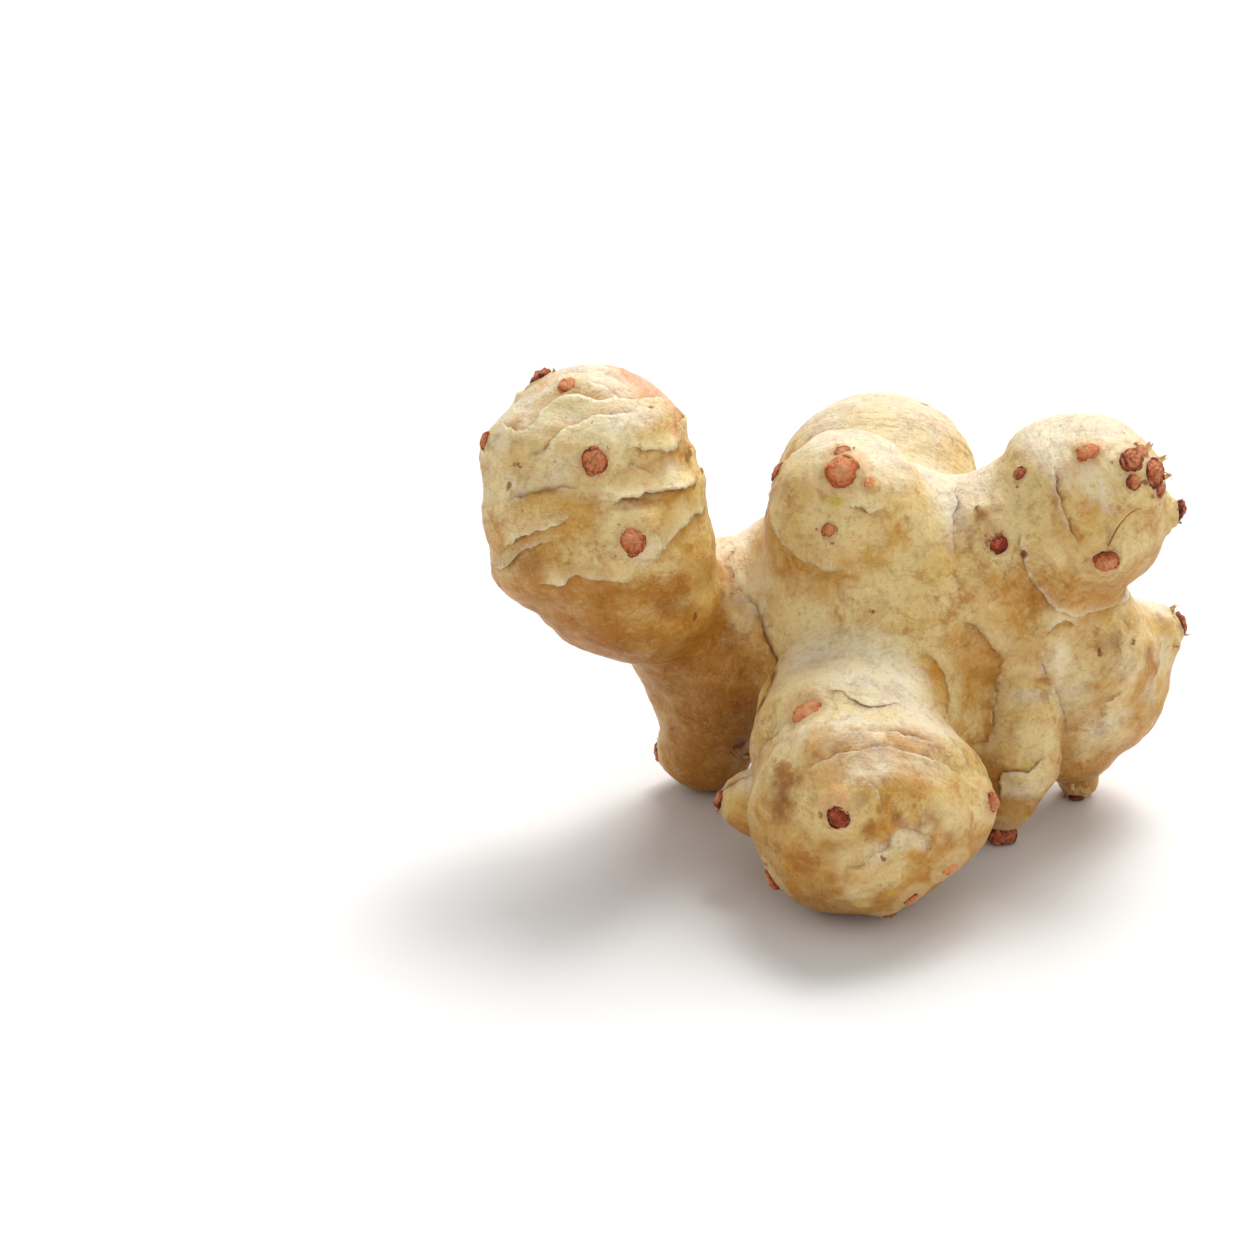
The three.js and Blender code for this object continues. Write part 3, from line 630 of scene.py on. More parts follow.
def cut_along(points, triangles, edge, closed_keys):
    """Cuts the net along one edge. Returns it with the short pieces of the new line."""
    which, across, strength, _ = edge.near(points)
    level = np.full(len(points), np.nan)
    ready = strength > 0
    level[which[ready]] = np.where(np.abs(across[ready]) < LEAST_GAP, LEAST_GAP, across[ready])
    corner = level[triangles]
    touched = np.isfinite(corner).sum(1) >= 2
    subset = np.nonzero(touched)[0]
    tri, lev = triangles[subset], corner[touched]
    nxt, lev_nxt = np.roll(tri, -1, 1), np.roll(lev, -1, 1)
    keys = pair_key(tri, nxt)
    cut = (lev * lev_nxt < 0) & ~np.isin(keys, closed_keys)
    if not cut.any():
        return points, triangles, np.zeros((0, 2), np.int64)
    cut_keys, first = np.unique(keys[cut], return_index=True)
    a, b = tri[cut][first], nxt[cut][first]
    t = np.clip(level[a] / (level[a] - level[b]), CUT_END, 1 - CUT_END)[:, None]
    new_points = points[a] + t * (points[b] - points[a])
    middle = np.full(cut.shape, -1, np.int64)
    middle[cut] = len(points) + np.searchsorted(cut_keys, keys[cut])
    count = cut.sum(1)
    made, lines = [triangles[np.setdiff1d(np.arange(len(triangles)), subset[count > 0])]], []
    for turn in range(3):
        both = np.concatenate([np.roll(tri, -turn, 1), np.roll(middle, -turn, 1)], 1)
        here = np.roll(cut, -turn, 1)
        one = both[(count == 1) & here[:, 0]]
        two = both[(count == 2) & here[:, 0] & here[:, 2]]
        made += [one[:, corners] for corners in ONE_CUT]
        made += [two[:, corners] for corners in TWO_CUTS]
        lines.append(two[:, [3, 5]])
    return np.concatenate([points, new_points]), np.concatenate(made), np.concatenate(lines)


def fans_round(corners, line_ends):
    """Sorts the triangles round a point of a line into the fans that the line parts."""
    fans = []
    for number, others in corners:
        joined = [fan for fan in fans if (fan[1] - line_ends) & others]
        merged = ([number], set(others))
        for fan in joined:
            merged[0].extend(fan[0])
            merged[1].update(fan[1])
        fans = [fan for fan in fans if all(fan is not other for other in joined)] + [merged]
    return fans


def joined_points(lines):
    """For each point of the lines: the points that it is joined to, and its line's number."""
    ends_of, line_of = {}, {}
    for number, line in enumerate(lines):
        for a, b in line.tolist():
            ends_of.setdefault(a, set()).add(b)
            ends_of.setdefault(b, set()).add(a)
            line_of[a] = line_of[b] = number
    return ends_of, line_of


def corners_round(triangles, inner):
    """For each inner point of a line: its triangles, each with its two other corners."""
    corners_of = {v: [] for v in inner}
    on_line = np.isin(triangles, list(inner))
    for number in np.nonzero(on_line.any(1))[0].tolist():
        corner = triangles[number].tolist()
        for v in inner.intersection(corner):
            corners_of[v].append((number, set(corner) - {v}))
    return corners_of


def part_line(points, triangles, lines, edges):
    """Gives each point of a line a second one for the layer's side, and walls between the two.

    Returns the points, the triangles, the walls, and each point's edge and side of it.
    """
    ends_of, line_of = joined_points(lines)
    owner = np.full(len(points), -1)
    owner[list(line_of)] = list(line_of.values())
    inner = {v for v, ends in ends_of.items() if len(ends) == 2}
    corners_of = corners_round(triangles, inner)
    side = np.zeros(len(points), np.int8)
    layer_of = {}
    parted = triangles.copy()
    for v in sorted(inner):
        fans = fans_round(corners_of[v], ends_of[v])
        if len(fans) != 2:
            continue
        edge = edges[owner[v]]
        way = edge.side[np.linalg.norm(edge.line - points[v], axis=1).argmin()]
        middles = [points[triangles[fan[0]]].mean((0, 1)) for fan in fans]
        layer = fans[0] if (middles[0] - middles[1]) @ way > 0 else fans[1]
        layer_of[v] = len(points) + len(layer_of)
        side[v] = -1
        for number in layer[0]:
            parted[number][triangles[number] == v] = layer_of[v]
    extra = list(layer_of)
    points = np.concatenate([points, points[extra]])
    owner = np.concatenate([owner, owner[extra]])
    side = np.concatenate([side, np.ones(len(extra), np.int8)])
    return points, parted, line_walls(triangles, parted, lines), owner, side


def line_walls(triangles, parted, lines):
    """Triangles that close the step between the two sides of every line."""
    pieces = {tuple(sorted(pair)) for line in lines for pair in line.tolist()}
    walls = []
    on_line = np.isin(triangles, np.concatenate(lines)).sum(1) >= 2
    for number in np.nonzero(on_line)[0].tolist():
        old, new = triangles[number].tolist(), parted[number].tolist()
        for i, k in ((0, 1), (1, 2), (2, 0)):
            a, b, high_a, high_b = old[i], old[k], new[i], new[k]
            if tuple(sorted((a, b))) not in pieces:
                continue
            if high_b != b:
                walls.append([a, b, high_b])
            if high_a != a:
                walls.append([a, high_b, high_a])
    return walls


# What marks the skin: the ridges' places, the patches, the buds' collars and the creases, whose depth the
# skin's colour darkens as painted shade.
MOUND_HEIGHT = 0.25  # the skin's rise towards a bud
FIBRE_HEIGHT = 0.13  # wrinkles that run round the lobe
SWELL_HEIGHT = 0.3
WRINKLE_HEIGHT = 0.15
COLLAR_LIFT = 0.8  # how much of a collar's height stands off the skin
COLLAR_FULL = 0.4  # a collar of this height shows its colour in full


def wrinkle(points, size, seed, depth=3):
    """Smooth noise from about -1 to 1 whose swells are about size long, in millimetres."""
    shift = Vector((seed * 17.3, seed * -7.9, seed * 3.1))
    flat = [noise.fractal(Vector(p) / size + shift, 1.0, 2.0, depth) for p in points.tolist()]
    return np.array(flat)


def ring_marks(points):
    """How far along its own lobe each point is, and how clear it is of the other lobes."""
    x, y, z = points.T
    sway = ridge_sway(x, y, z)
    gaps = np.stack([beads_distance(x, y, z, lobe["beads"]) for lobe in LOBES.values()])
    owner = gaps.argmin(0)
    nearest, second = np.sort(gaps, axis=0)[:2]
    along = np.zeros(len(points))
    for number, lobe in enumerate(LOBES.values()):
        tip, axis = lobe_axis(lobe["beads"])
        own = owner == number
        along[own] = ((points - tip) @ axis + sway)[own]
    return along, np.clip((second - nearest - 0.8) / 2.5, 0, 1)


def spot_marks(points):
    """How strongly each kind of patch shows at each point."""
    marks = {}
    waver = 0.5 * wrinkle(points, 3.4, 3) + 0.25 * wrinkle(points, 1.3, 4, 2)
    for kind, rows in SEEN_SPOTS.items():
        rows = np.array(rows, float)
        marks[kind] = np.zeros(len(points))
        for place, radius in zip(seen_place(rows[:, :2]), rows[:, 2]):
            reach = np.linalg.norm(points - place, axis=1) / radius + waver
            marks[kind] = np.maximum(marks[kind], np.clip((1.4 - reach) / 1.2, 0, 1))
    return marks


def edge_marks(points, edges, owner, side):
    """The step at every torn edge: lift off the skin, shift along it, and the colours beside it."""
    marks = {kind: np.zeros(len(points)) for kind in ("lift", "lip", "rust", "shade", "pale", "tan")}
    shift = np.zeros_like(points)
    for number, edge in enumerate(edges):
        which, across, strength, nearest = edge.near(points)
        own = (owner[which] == number) & (side[which] != 0)
        across = np.where(own, ON_LINE * side[which], across)
        layer, far = across > 0, np.abs(across)
        fade = strength * np.clip(1 - far / EDGE_REACH, 0, 1) ** 2
        marks["lift"][which] += edge.step(layer, far) * fade
        for kind, values in edge.colours(layer, far, strength, fade).items():
            marks[kind][which] = np.maximum(marks[kind][which], values)
        curl = own & (side[which] > 0)
        ragged = 0.12 + 0.3 * np.abs(wrinkle(points[which[curl]], 1.6, 9))
        out = ragged * strength[curl] * edge.lift / 0.25
        shift[which[curl]] -= edge.side[nearest[curl]] * out[:, None]
    return marks, shift


class Bud:
    """A bud's place on the skin, its outward and tipward directions, its width and its age."""

    def __init__(self, lobe, turn, rise, width, age):
        self.at = skin_place(lobe, turn, rise)
        self.out = slope(self.at)
        self.foot = self.at + knob_lift(self.at[None]) * self.out
        _, axis = lobe_axis(LOBES[lobe]["beads"])
        tipward = axis - axis @ self.out * self.out
        if np.linalg.norm(tipward) < 0.2:
            tipward = np.array([0.3, 0.2, 1.0]) - self.out[2] * self.out
        self.up = unit(tipward)
        self.aside = np.cross(self.out, self.up)
        self.width, self.age = width, age
        self.long = 1.04 + 0.08 * math.sin(turn + 3 * rise)
        self.old = age > OLD_AGE
        self.sunken = age <= SUNKEN_AGE or age == 1
        self.rise = width * BUD_STAND * (SUNKEN_STAND if self.sunken else 1)


def all_buds():
    return [Bud(lobe, *row) for lobe, rows in BUDS.items() for row in rows]


def reach_round(points, place, radius, limit, waver, seed):
    """The points within a limit of a place, and how many of its radii away each of them is.

    The waver is how far that is ragged, and how long the rags are in millimetres.
    """
    gap = np.linalg.norm(points - place, axis=1)
    near = gap < limit * radius
    return near, gap[near] / radius + waver[0] * wrinkle(points[near], waver[1], seed, 2)


def halo_round(points, buds):
    """How near each point is to a bud, from 1 at its rim to 0, and the pale ridges round the bud."""
    halo, collar = np.zeros(len(points)), np.zeros(len(points))
    for bud in buds:
        near, reach = reach_round(points, bud.at, bud.width / 2, 3.2, (0.22, 1.5), 6)
        ridges = 0.11 * np.exp(-(np.maximum(reach - 1.12, 0) / 0.17) ** 2)
        ridges += 0.06 * np.exp(-((reach - 1.9) / 0.24) ** 2)
        halo[near] = np.maximum(halo[near], np.clip((2.6 - reach) / 1.6, 0, 1))
        collar[near] = np.maximum(collar[near], bud.width * ridges)
    return halo, collar


def knob_lift(points):
    """How far the small knobs stand off the skin."""
    rows = np.array(list(SEEN_KNOBS.values()), float)
    lift = np.zeros(len(points))
    for place, (radius, height) in zip(seen_place(rows[:, :2]), rows[:, 2:]):
        near, reach = reach_round(points, place, radius, 2.5, (0.2, 1.3), 12)
        lift[near] += height * np.exp(-reach ** 2)
    return lift


def crease_depth(points, out):
    """0 on open skin, towards 1 deep in a crease between lobes, where the skin's colour paints shade."""
    looks = (2.0, 5.0, 10.0)
    shut = [np.clip(1 - tuber_distance(points + reach * out) / reach, 0, 1) for reach in looks]
    return sum(shut) / len(looks)


def relief(points, along, clear, halo, collar):
    """How far the fine skin stands off the lobes' smooth form."""
    mound = MOUND_HEIGHT * halo * halo * (1.5 - halo)
    ringed = np.stack([along / 1.6, points[:, 0] / 12, points[:, 1] / 12 + points[:, 2] / 14], 1)
    fibre = FIBRE_HEIGHT * clear * wrinkle(ringed, 1, 4, 3)
    swells = SWELL_HEIGHT * wrinkle(points, 7, 1, 2) + WRINKLE_HEIGHT * wrinkle(points, 2.4, 2, 3)
    return mound + COLLAR_LIFT * collar + fibre + swells


# Meshes.
CORE_RADIUS = 0.48  # a bud core's, for the bud's width
CORE_POLAR = (0.06, 0.62 * math.pi)  # the angles off its axis from which to which a core goes
SCALE_THICKNESS = 0.08  # a scale's, for how far it is from the bud's middle


def add_object(name, data):
    """A new object in the scene."""
    thing = bpy.data.objects.new(name, data)
    bpy.context.scene.collection.objects.link(thing)
    return thing


def mesh_piece(name, points, faces, flat=0):
    """A smooth mesh of points in millimetres. The last of its faces, as many as flat says, are flat."""
    mesh = bpy.data.meshes.new(name)
    mesh.from_pydata((np.asarray(points) * MM).tolist(), [], [list(map(int, f)) for f in faces])
    mesh.polygons.foreach_set("use_smooth", [i < len(faces) - flat for i in range(len(faces))])
    mesh.update()
    return add_object(name, mesh)


def mark(piece, name, values):
    layer = piece.data.attributes.new(name, "FLOAT", "POINT")
    layer.data.foreach_set("value", np.asarray(values, np.float32))


def cut_net(edges):
    """The net of the skin, cut and parted along every torn edge."""
    points, triangles = skin_net()
    lines, taken = [], np.zeros(0, np.int64)
    for edge in edges:
        points, triangles, line = cut_along(points, triangles, edge, taken)
        lines.append(line)
        taken = np.concatenate([taken, pair_key(line[:, 0], line[:, 1])])
    return part_line(points, triangles, lines, edges)


def make_skin(buds):
    edges = all_edges()
    points, triangles, walls, owner, side = cut_net(edges)
    out = slope(points)
    along, clear = ring_marks(points)
    halo, collar = halo_round(points, buds)
    marks, shift = edge_marks(points, edges, owner, side)
    lift = relief(points, along, clear, halo, collar) + knob_lift(points) + marks.pop("lift")
    skin = points + lift[:, None] * out + shift
    skin[:, 2] = np.maximum(skin[:, 2], 0)
    piece = mesh_piece("skin", skin, triangles.tolist() + walls, len(walls))
    for kind, strength in spot_marks(points).items():
        marks[kind] = np.maximum(marks.get(kind, 0), strength)
    marks.update(along=along, clear=clear, halo=halo, collar=collar / COLLAR_FULL)
    # With crease and under the material paints shade into creases and onto the skin that faces down, and
    # with top it paints a highlight on the skin that faces up.
    marks.update(crease=crease_depth(points, out), top=np.clip(out[:, 2], 0, 1))
    marks.update(under=np.clip((0.3 - out[:, 2]) / 1.3, 0, 1))
    for kind, values in marks.items():
        mark(piece, kind, values)
    return piece


def dome_points(bud, turn, polar, radius, height):
    """Points on a squashed dome over a bud, leaning a little to the lobe's tip."""
    lean = 0.12 * bud.width * np.cos(polar)
    across = radius * bud.long * np.sin(polar) * np.cos(turn) + lean
    aside = radius / bud.long * np.sin(polar) * np.sin(turn)
    rise = height * np.cos(polar)
    return (bud.foot + across[..., None] * bud.up + aside[..., None] * bud.aside
            + rise[..., None] * bud.out)


def grid_faces(rows, columns, closed):
    """Quads over a grid of points, row by row, which may close round on itself."""
    faces = []
    for r in range(rows - 1):
        for c in range(columns if closed else columns - 1):
            n = (c + 1) % columns
            here, there = r * columns, (r + 1) * columns
            faces.append([here + c, here + n, there + n, there + c])
    return faces


class Heap:
    """Points, faces and marks of many small parts that become one mesh."""

    def __init__(self):
        self.points, self.faces, self.marks = [], [], {}
        self.count = 0

    def add(self, points, faces, **marks):
        points = np.asarray(points).reshape(-1, 3)
        self.points.append(points)
        self.faces.extend([[self.count + i for i in face] for face in faces])
        for name, values in marks.items():
            self.marks.setdefault(name, []).append(np.broadcast_to(np.ravel(values), len(points)))
        self.count += len(points)

    def add_sheet(self, front, back, along, **marks):
        """Adds a thin closed sheet, from the grids of points of its two faces."""
        points = np.concatenate([front.reshape(-1, 3), back.reshape(-1, 3)])
        self.add(points, sheet_faces(*along.shape), along=np.tile(along.ravel(), 2), **marks)

    def piece(self, name):
        points = np.concatenate(self.points)
        points[:, 2] = np.maximum(points[:, 2], 0)
        piece = mesh_piece(name, points, self.faces)
        for mark_name, values in self.marks.items():
            mark(piece, mark_name, np.concatenate(values))
        return piece


def sheet_grid(rows, columns):
    """How far along a sheet each of its points is, 0 to 1, and how far across, -1 to 1."""
    return np.meshgrid(np.linspace(0, 1, rows), np.linspace(-1, 1, columns), indexing="ij")


def tube_faces(rows, columns):
    """The faces of a closed skin of rings, with a cap at each end."""
    first = list(range(columns))[::-1]
    last = [columns * (rows - 1) + c for c in range(columns)]
    return grid_faces(rows, columns, True) + [first, last]


def sheet_faces(rows, columns):
    """The faces of a thin closed sheet: a grid of points, then the same grid again as its back."""
    size = rows * columns
    front = grid_faces(rows, columns, False)
    back = [[size + i for i in reversed(face)] for face in front]
    rim = list(range(columns)) + [columns * r + columns - 1 for r in range(1, rows)]
    rim += [columns * (rows - 1) + c for c in range(columns - 2, -1, -1)]
    rim += [columns * r for r in range(rows - 2, 0, -1)]
    sides = [[rim[i], rim[i - 1], size + rim[i - 1], size + rim[i]] for i in range(len(rim))]
    return front + back + sides


def grainy(points, bud, height):
    """Roughens a bud's points outward, in grains of half a millimetre to a millimetre."""
    flat = points.reshape(-1, 3)
    lift = height * (1.2 * wrinkle(flat, 0.55, 31, 2) + 0.8 * wrinkle(flat, 1.2, 32, 2))
    return (flat + lift[:, None] * bud.out).reshape(points.shape)


def add_bud_core(heap, bud, random):
    rows, columns = 16, 40
    turns = np.linspace(0, 2 * math.pi, columns, endpoint=False)
    polar, turn = np.meshgrid(np.linspace(*CORE_POLAR, rows), turns, indexing="ij")
    wave = 0.05 * np.sin(2 * turn + random.uniform(0, 6)) + 0.03 * np.sin(5 * turn + random.uniform(0, 6))
    core = dome_points(bud, turn, polar, CORE_RADIUS * bud.width * (1 + wave), bud.rise)
    grain = (0.08 if bud.old else 0.055) * bud.width
    heap.add(grainy(core, bud, grain), tube_faces(rows, columns), along=np.cos(polar), age=bud.age)


def add_bud_scale(heap, bud, random, number):
    """One thin, pointed scale that lies on the bud from its rim towards its tip."""
    length, across = sheet_grid(7, 7)
    centre = number * 2.4 + random.uniform(-0.5, 0.5)
    outer = 1.55 - 0.12 * number + random.uniform(-0.1, 0.1)
    half = (0.5 + random.uniform(-0.12, 0.16)) * np.sqrt(np.clip(1 - length ** 1.6, 0, 1)) + 0.02
    polar = outer - length * random.uniform(0.3, 0.6)
    turn = centre + across * half / np.maximum(np.sin(polar), 0.35)
    raised = 0.03 + (0.22 if bud.old else 0.08) * random.random() ** 2
    lift = 1.03 + raised * length - 0.05 * across ** 2
    sheets = []
    for share in (lift, lift - SCALE_THICKNESS):
        sheet = dome_points(bud, turn, polar, bud.width / 2 * share, bud.rise * share)
        sheets.append(grainy(sheet, bud, 0.05 * bud.width))
    heap.add_sheet(*sheets, 0.4 * np.cos(polar) + 0.6 * length, age=bud.age)


def make_buds(buds):
    """Every bud: a grainy, low core with a few thin scales that overlap on it."""
    random = np.random.default_rng(11)
    heap = Heap()
    for bud in buds:
        add_bud_core(heap, bud, random)
        for number in range(0 if bud.sunken else 5 if bud.old else 3):
            add_bud_scale(heap, bud, random, number)
    return heap.piece("buds")


def picture_way(right, down):
    """A direction in space that runs along the picture."""
    _, _, up, _ = view_axes()
    return unit(right * RIGHT - down * up)


def add_shred(heap, at, out, way, length, width, random):
    """A small shred of dry skin that is rooted at a place and stands off it along a way."""
    t, u = sheet_grid(7, 5)
    way = unit(way - min(way @ out, 0) * out + 0.25 * out)
    side = unit(np.cross(way, out))
    face = np.cross(side, way)
    ragged = 1 + 0.3 * np.sin(7 * t + random.uniform(0, 6)) * t
    half = width / 2 * (1 - 0.55 * t ** 2) * ragged
    reach = t * length * (1 + 0.25 * np.sin(4 * u + random.uniform(0, 6)) * t)
    bend = random.uniform(-0.1, 0.45) * length * t ** 2 - 0.2 * width * u ** 2
    front = (at - 0.35 * (1 - t)[..., None] * out + reach[..., None] * way
             + (u * half)[..., None] * side + bend[..., None] * face)
    heap.add_sheet(front, front - SHRED_THICKNESS * face, t)


def make_shreds(buds):
    """The shreds that the photograph shows, and a few at the rims of the older buds."""
    random = np.random.default_rng(5)
    heap = Heap()
    rows = np.array([row for rows in SEEN_SHREDS.values() for row in rows], float)
    places = seen_place(rows[:, :2])
    for at, out, (right, down, length, width) in zip(places, slope(places), rows[:, 2:]):
        add_shred(heap, at, out, picture_way(right, down), length, width, random)
    for bud in buds:
        for _ in range(2 if bud.age > SHRED_AGE else 0):
            turn = random.uniform(0, 2 * math.pi)
            way = math.cos(turn) * bud.up + math.sin(turn) * bud.aside
            at = onto_skin((bud.at + 0.5 * bud.width * way)[None])[0]
            add_shred(heap, at, bud.out, way, random.uniform(0.5, 1.0), random.uniform(0.8, 1.5), random)
    return heap.piece("skin_shreds")


def add_hair(heap, path, thickness):
    """A thin hair along a path, which tapers to its end."""
    sides = 6
    line = smooth_line(path, 0.35)
    tangent = unit(np.gradient(line, axis=0))
    one = unit(np.cross(tangent, (0.3, 0.5, 0.8)))
    other = np.cross(tangent, one)
    turn = np.linspace(0, 2 * math.pi, sides, endpoint=False)
    run = np.linspace(0, 1, len(line))
    radius = thickness / 2 * (1 - 0.75 * run)
    ring = np.cos(turn)[None, :, None] * one[:, None] + np.sin(turn)[None, :, None] * other[:, None]
    points = line[:, None] + radius[:, None, None] * ring
    heap.add(points, tube_faces(len(line), sides), along=np.repeat(run, sides))


def hair_places(pixels):
    """Places on the skin under a hair, which never leap across a gap from one lobe to another."""
    seen = seen_place(pixels)
    places = [seen[0]]
    for start, end, place in zip(pixels, pixels[1:], seen[1:]):
        right, down = end - start
        step = math.hypot(right, down) * MM_PER_PIXEL
        if np.linalg.norm(place - places[-1]) > HAIR_LEAP * step:
            place = onto_skin((places[-1] + step * picture_way(right, down))[None])[0]
        places.append(place)
    return np.array(places)


def make_rootlets():
    """Fine dry root hairs: those that the photograph shows, and a few on the hidden sides."""
    heap = Heap()
    for thickness, rows in SEEN_HAIRS.values():
        rows = np.array(rows, float)
        places = hair_places(rows[:, :2])
        add_hair(heap, places + rows[:, 2:] * slope(places), thickness)
    random = np.random.default_rng(8)
    height = np.array([-0.3, 0.3, 0.7, 0.9, 0.6])
    for lobe, turn, rise in HIDDEN_HAIRS:
        turns = turn + np.cumsum(random.uniform(3, 9, 5))
        rises = rise + np.cumsum(random.uniform(-7, 7, 5))
        places = skin_place(lobe, turns, rises)
        add_hair(heap, places + height[:, None] * slope(places), 0.25)
    return heap.piece("rootlets")


# Materials.
def linear(red, green, blue):
    """A colour as the screen shows it, from 0 to 255, turned into light."""
    shown = [level / 255 for level in (red, green, blue)]
    return (*(s / 12.92 if s <= 0.04045 else ((s + 0.055) / 1.055) ** 2.4 for s in shown), 1.0)


class Shades:
    """A material's nodes. An input takes a number, a colour, an output or the name of a mark."""

    def __init__(self, name):
        self.material = bpy.data.materials.new(name)
        self.material.use_nodes = True
        self.tree = self.material.node_tree
        self.tree.nodes.clear()
        self.place = self.node("TexCoord").outputs["Object"]

    def node(self, kind, *first, inputs=(), **settings):
        """A node with its settings, its first inputs in order, and others by name or number."""
        node = self.tree.nodes.new("ShaderNode" + kind)
        for name, value in settings.items():
            setattr(node, name, value)
        for key, value in [*enumerate(first), *dict(inputs).items()]:
            if value is not None:
                self.put(node.inputs[key], value)
        return node

    def put(self, socket, value):
        if isinstance(value, str):
            value = self.node("Attribute", attribute_name=value).outputs["Fac"]
        if isinstance(value, bpy.types.NodeSocket):
            self.tree.links.new(value, socket)
        else:
            socket.default_value = value

    def noise(self, scale, detail=3.0, roughness=0.5, place=None, distortion=0.0):
        inputs = {"Vector": self.place if place is None else place, "Scale": scale,
                  "Detail": detail, "Roughness": roughness, "Distortion": distortion}
        return self.node("TexNoise", inputs=inputs).outputs["Fac"]

    def math(self, operation, *values):
        return self.node("Math", *values, operation=operation).outputs[0]

    def times(self, a, b):
        return self.math("MULTIPLY", a, b)

    def off(self, value, middle):
        """How far a value is from a middle one."""
        return self.math("ABSOLUTE", self.math("SUBTRACT", value, middle))

    def ramp(self, value, low, high, to_low=0.0, to_high=1.0):
        """A smooth rise from to_low to to_high, while the value goes from low to high."""
        values = (value, low, high, to_low, to_high)
        return self.node("MapRange", *values, interpolation_type="SMOOTHSTEP").outputs[0]

    def mix(self, factor, a, b):
        return self.node("Mix", inputs={0: factor, 6: a, 7: b}, data_type="RGBA").outputs[2]

    def over(self, colour, *layers):
        """A colour with others over it: each one's mask from 0 to 1 shows it, at its strength."""
        for top, mask, strength in layers:
            colour = self.mix(self.times(mask, strength), colour, top)
        return colour

    def stretched(self, along, scale):
        """A place whose first coordinate is drawn out of line with the others."""
        scaled = self.node("VectorMath", self.place, inputs={"Scale": scale}, operation="SCALE")
        x, y, z = self.node("SeparateXYZ", scaled.outputs[0]).outputs
        return self.node("CombineXYZ", along, x, self.math("ADD", y, z)).outputs[0]

    def patch(self, name, grain, low, high):
        """The patches of a mark, broken up by a grain."""
        waver = self.math("MULTIPLY_ADD", grain, 1.6, -0.8)
        shown = self.ramp(self.math("ADD", name, waver), low, high)
        return self.times(shown, self.ramp(name, 0.0, 0.35))

    def specks(self, scale, share, size):
        """Scattered specks: a share of the cells of a pattern hold one, of a size in cells."""
        place, sway = self.place, (0.8 / scale,) * 3
        wobble = self.node("TexNoise", inputs={"Vector": place, "Scale": 2.5 * scale})
        bent = self.node("VectorMath", wobble.outputs["Color"], sway, place, operation="MULTIPLY_ADD")
        cells = self.node("TexVoronoi", inputs={"Vector": bent.outputs[0], "Scale": scale})
        chance = self.node("SeparateColor", cells.outputs["Color"])
        chosen = self.math("LESS_THAN", chance.outputs[0], share)
        width = self.math("MULTIPLY_ADD", chance.outputs[1], size, 0.5 * size)
        inside = self.math("SUBTRACT", width, cells.outputs["Distance"])
        return self.times(chosen, self.ramp(inside, 0.0, 0.5 * size))

    def bump(self, height, distance, strength, below=None):
        """The relief of a pattern, which is so many metres high, over another relief."""
        inputs = {"Height": height, "Distance": distance, "Strength": strength, "Normal": below}
        return self.node("Bump", inputs=inputs).outputs["Normal"]

    def finish(self, colour, roughness, normal=None, subsurface=0.0):
        inputs = {"Base Color": colour, "Roughness": roughness, "Normal": normal,
                  "Subsurface Weight": subsurface, "Subsurface Radius": FLESH_SPREAD,
                  "Subsurface Scale": FLESH_DEPTH, "Specular IOR Level": SHEEN}
        shader = self.node("BsdfPrincipled", inputs=inputs)
        self.node("OutputMaterial", shader.outputs[0])
        return self.material


FLESH_SPREAD = (1.0, 0.45, 0.2)  # how far light goes in the flesh: red, green and blue
FLESH_DEPTH = 0.003  # and for how many metres, times these
SHEEN = 0.25

CREAM = linear(244, 222, 162)
BASE = linear(224, 186, 100)
GOLD = linear(208, 144, 32)
TAN = linear(184, 114, 34)
BROWN = linear(148, 78, 20)
SPECK = linear(124, 58, 20)
RIM = linear(184, 112, 48)
PINK = linear(236, 154, 102)
YELLOW = linear(222, 186, 40)
# Pale papery lips and flakes, and also a painted highlight on the skin that faces up and along the edges'
# lips.
PALE_LIP_AND_HIGHLIGHT = linear(255, 246, 224)


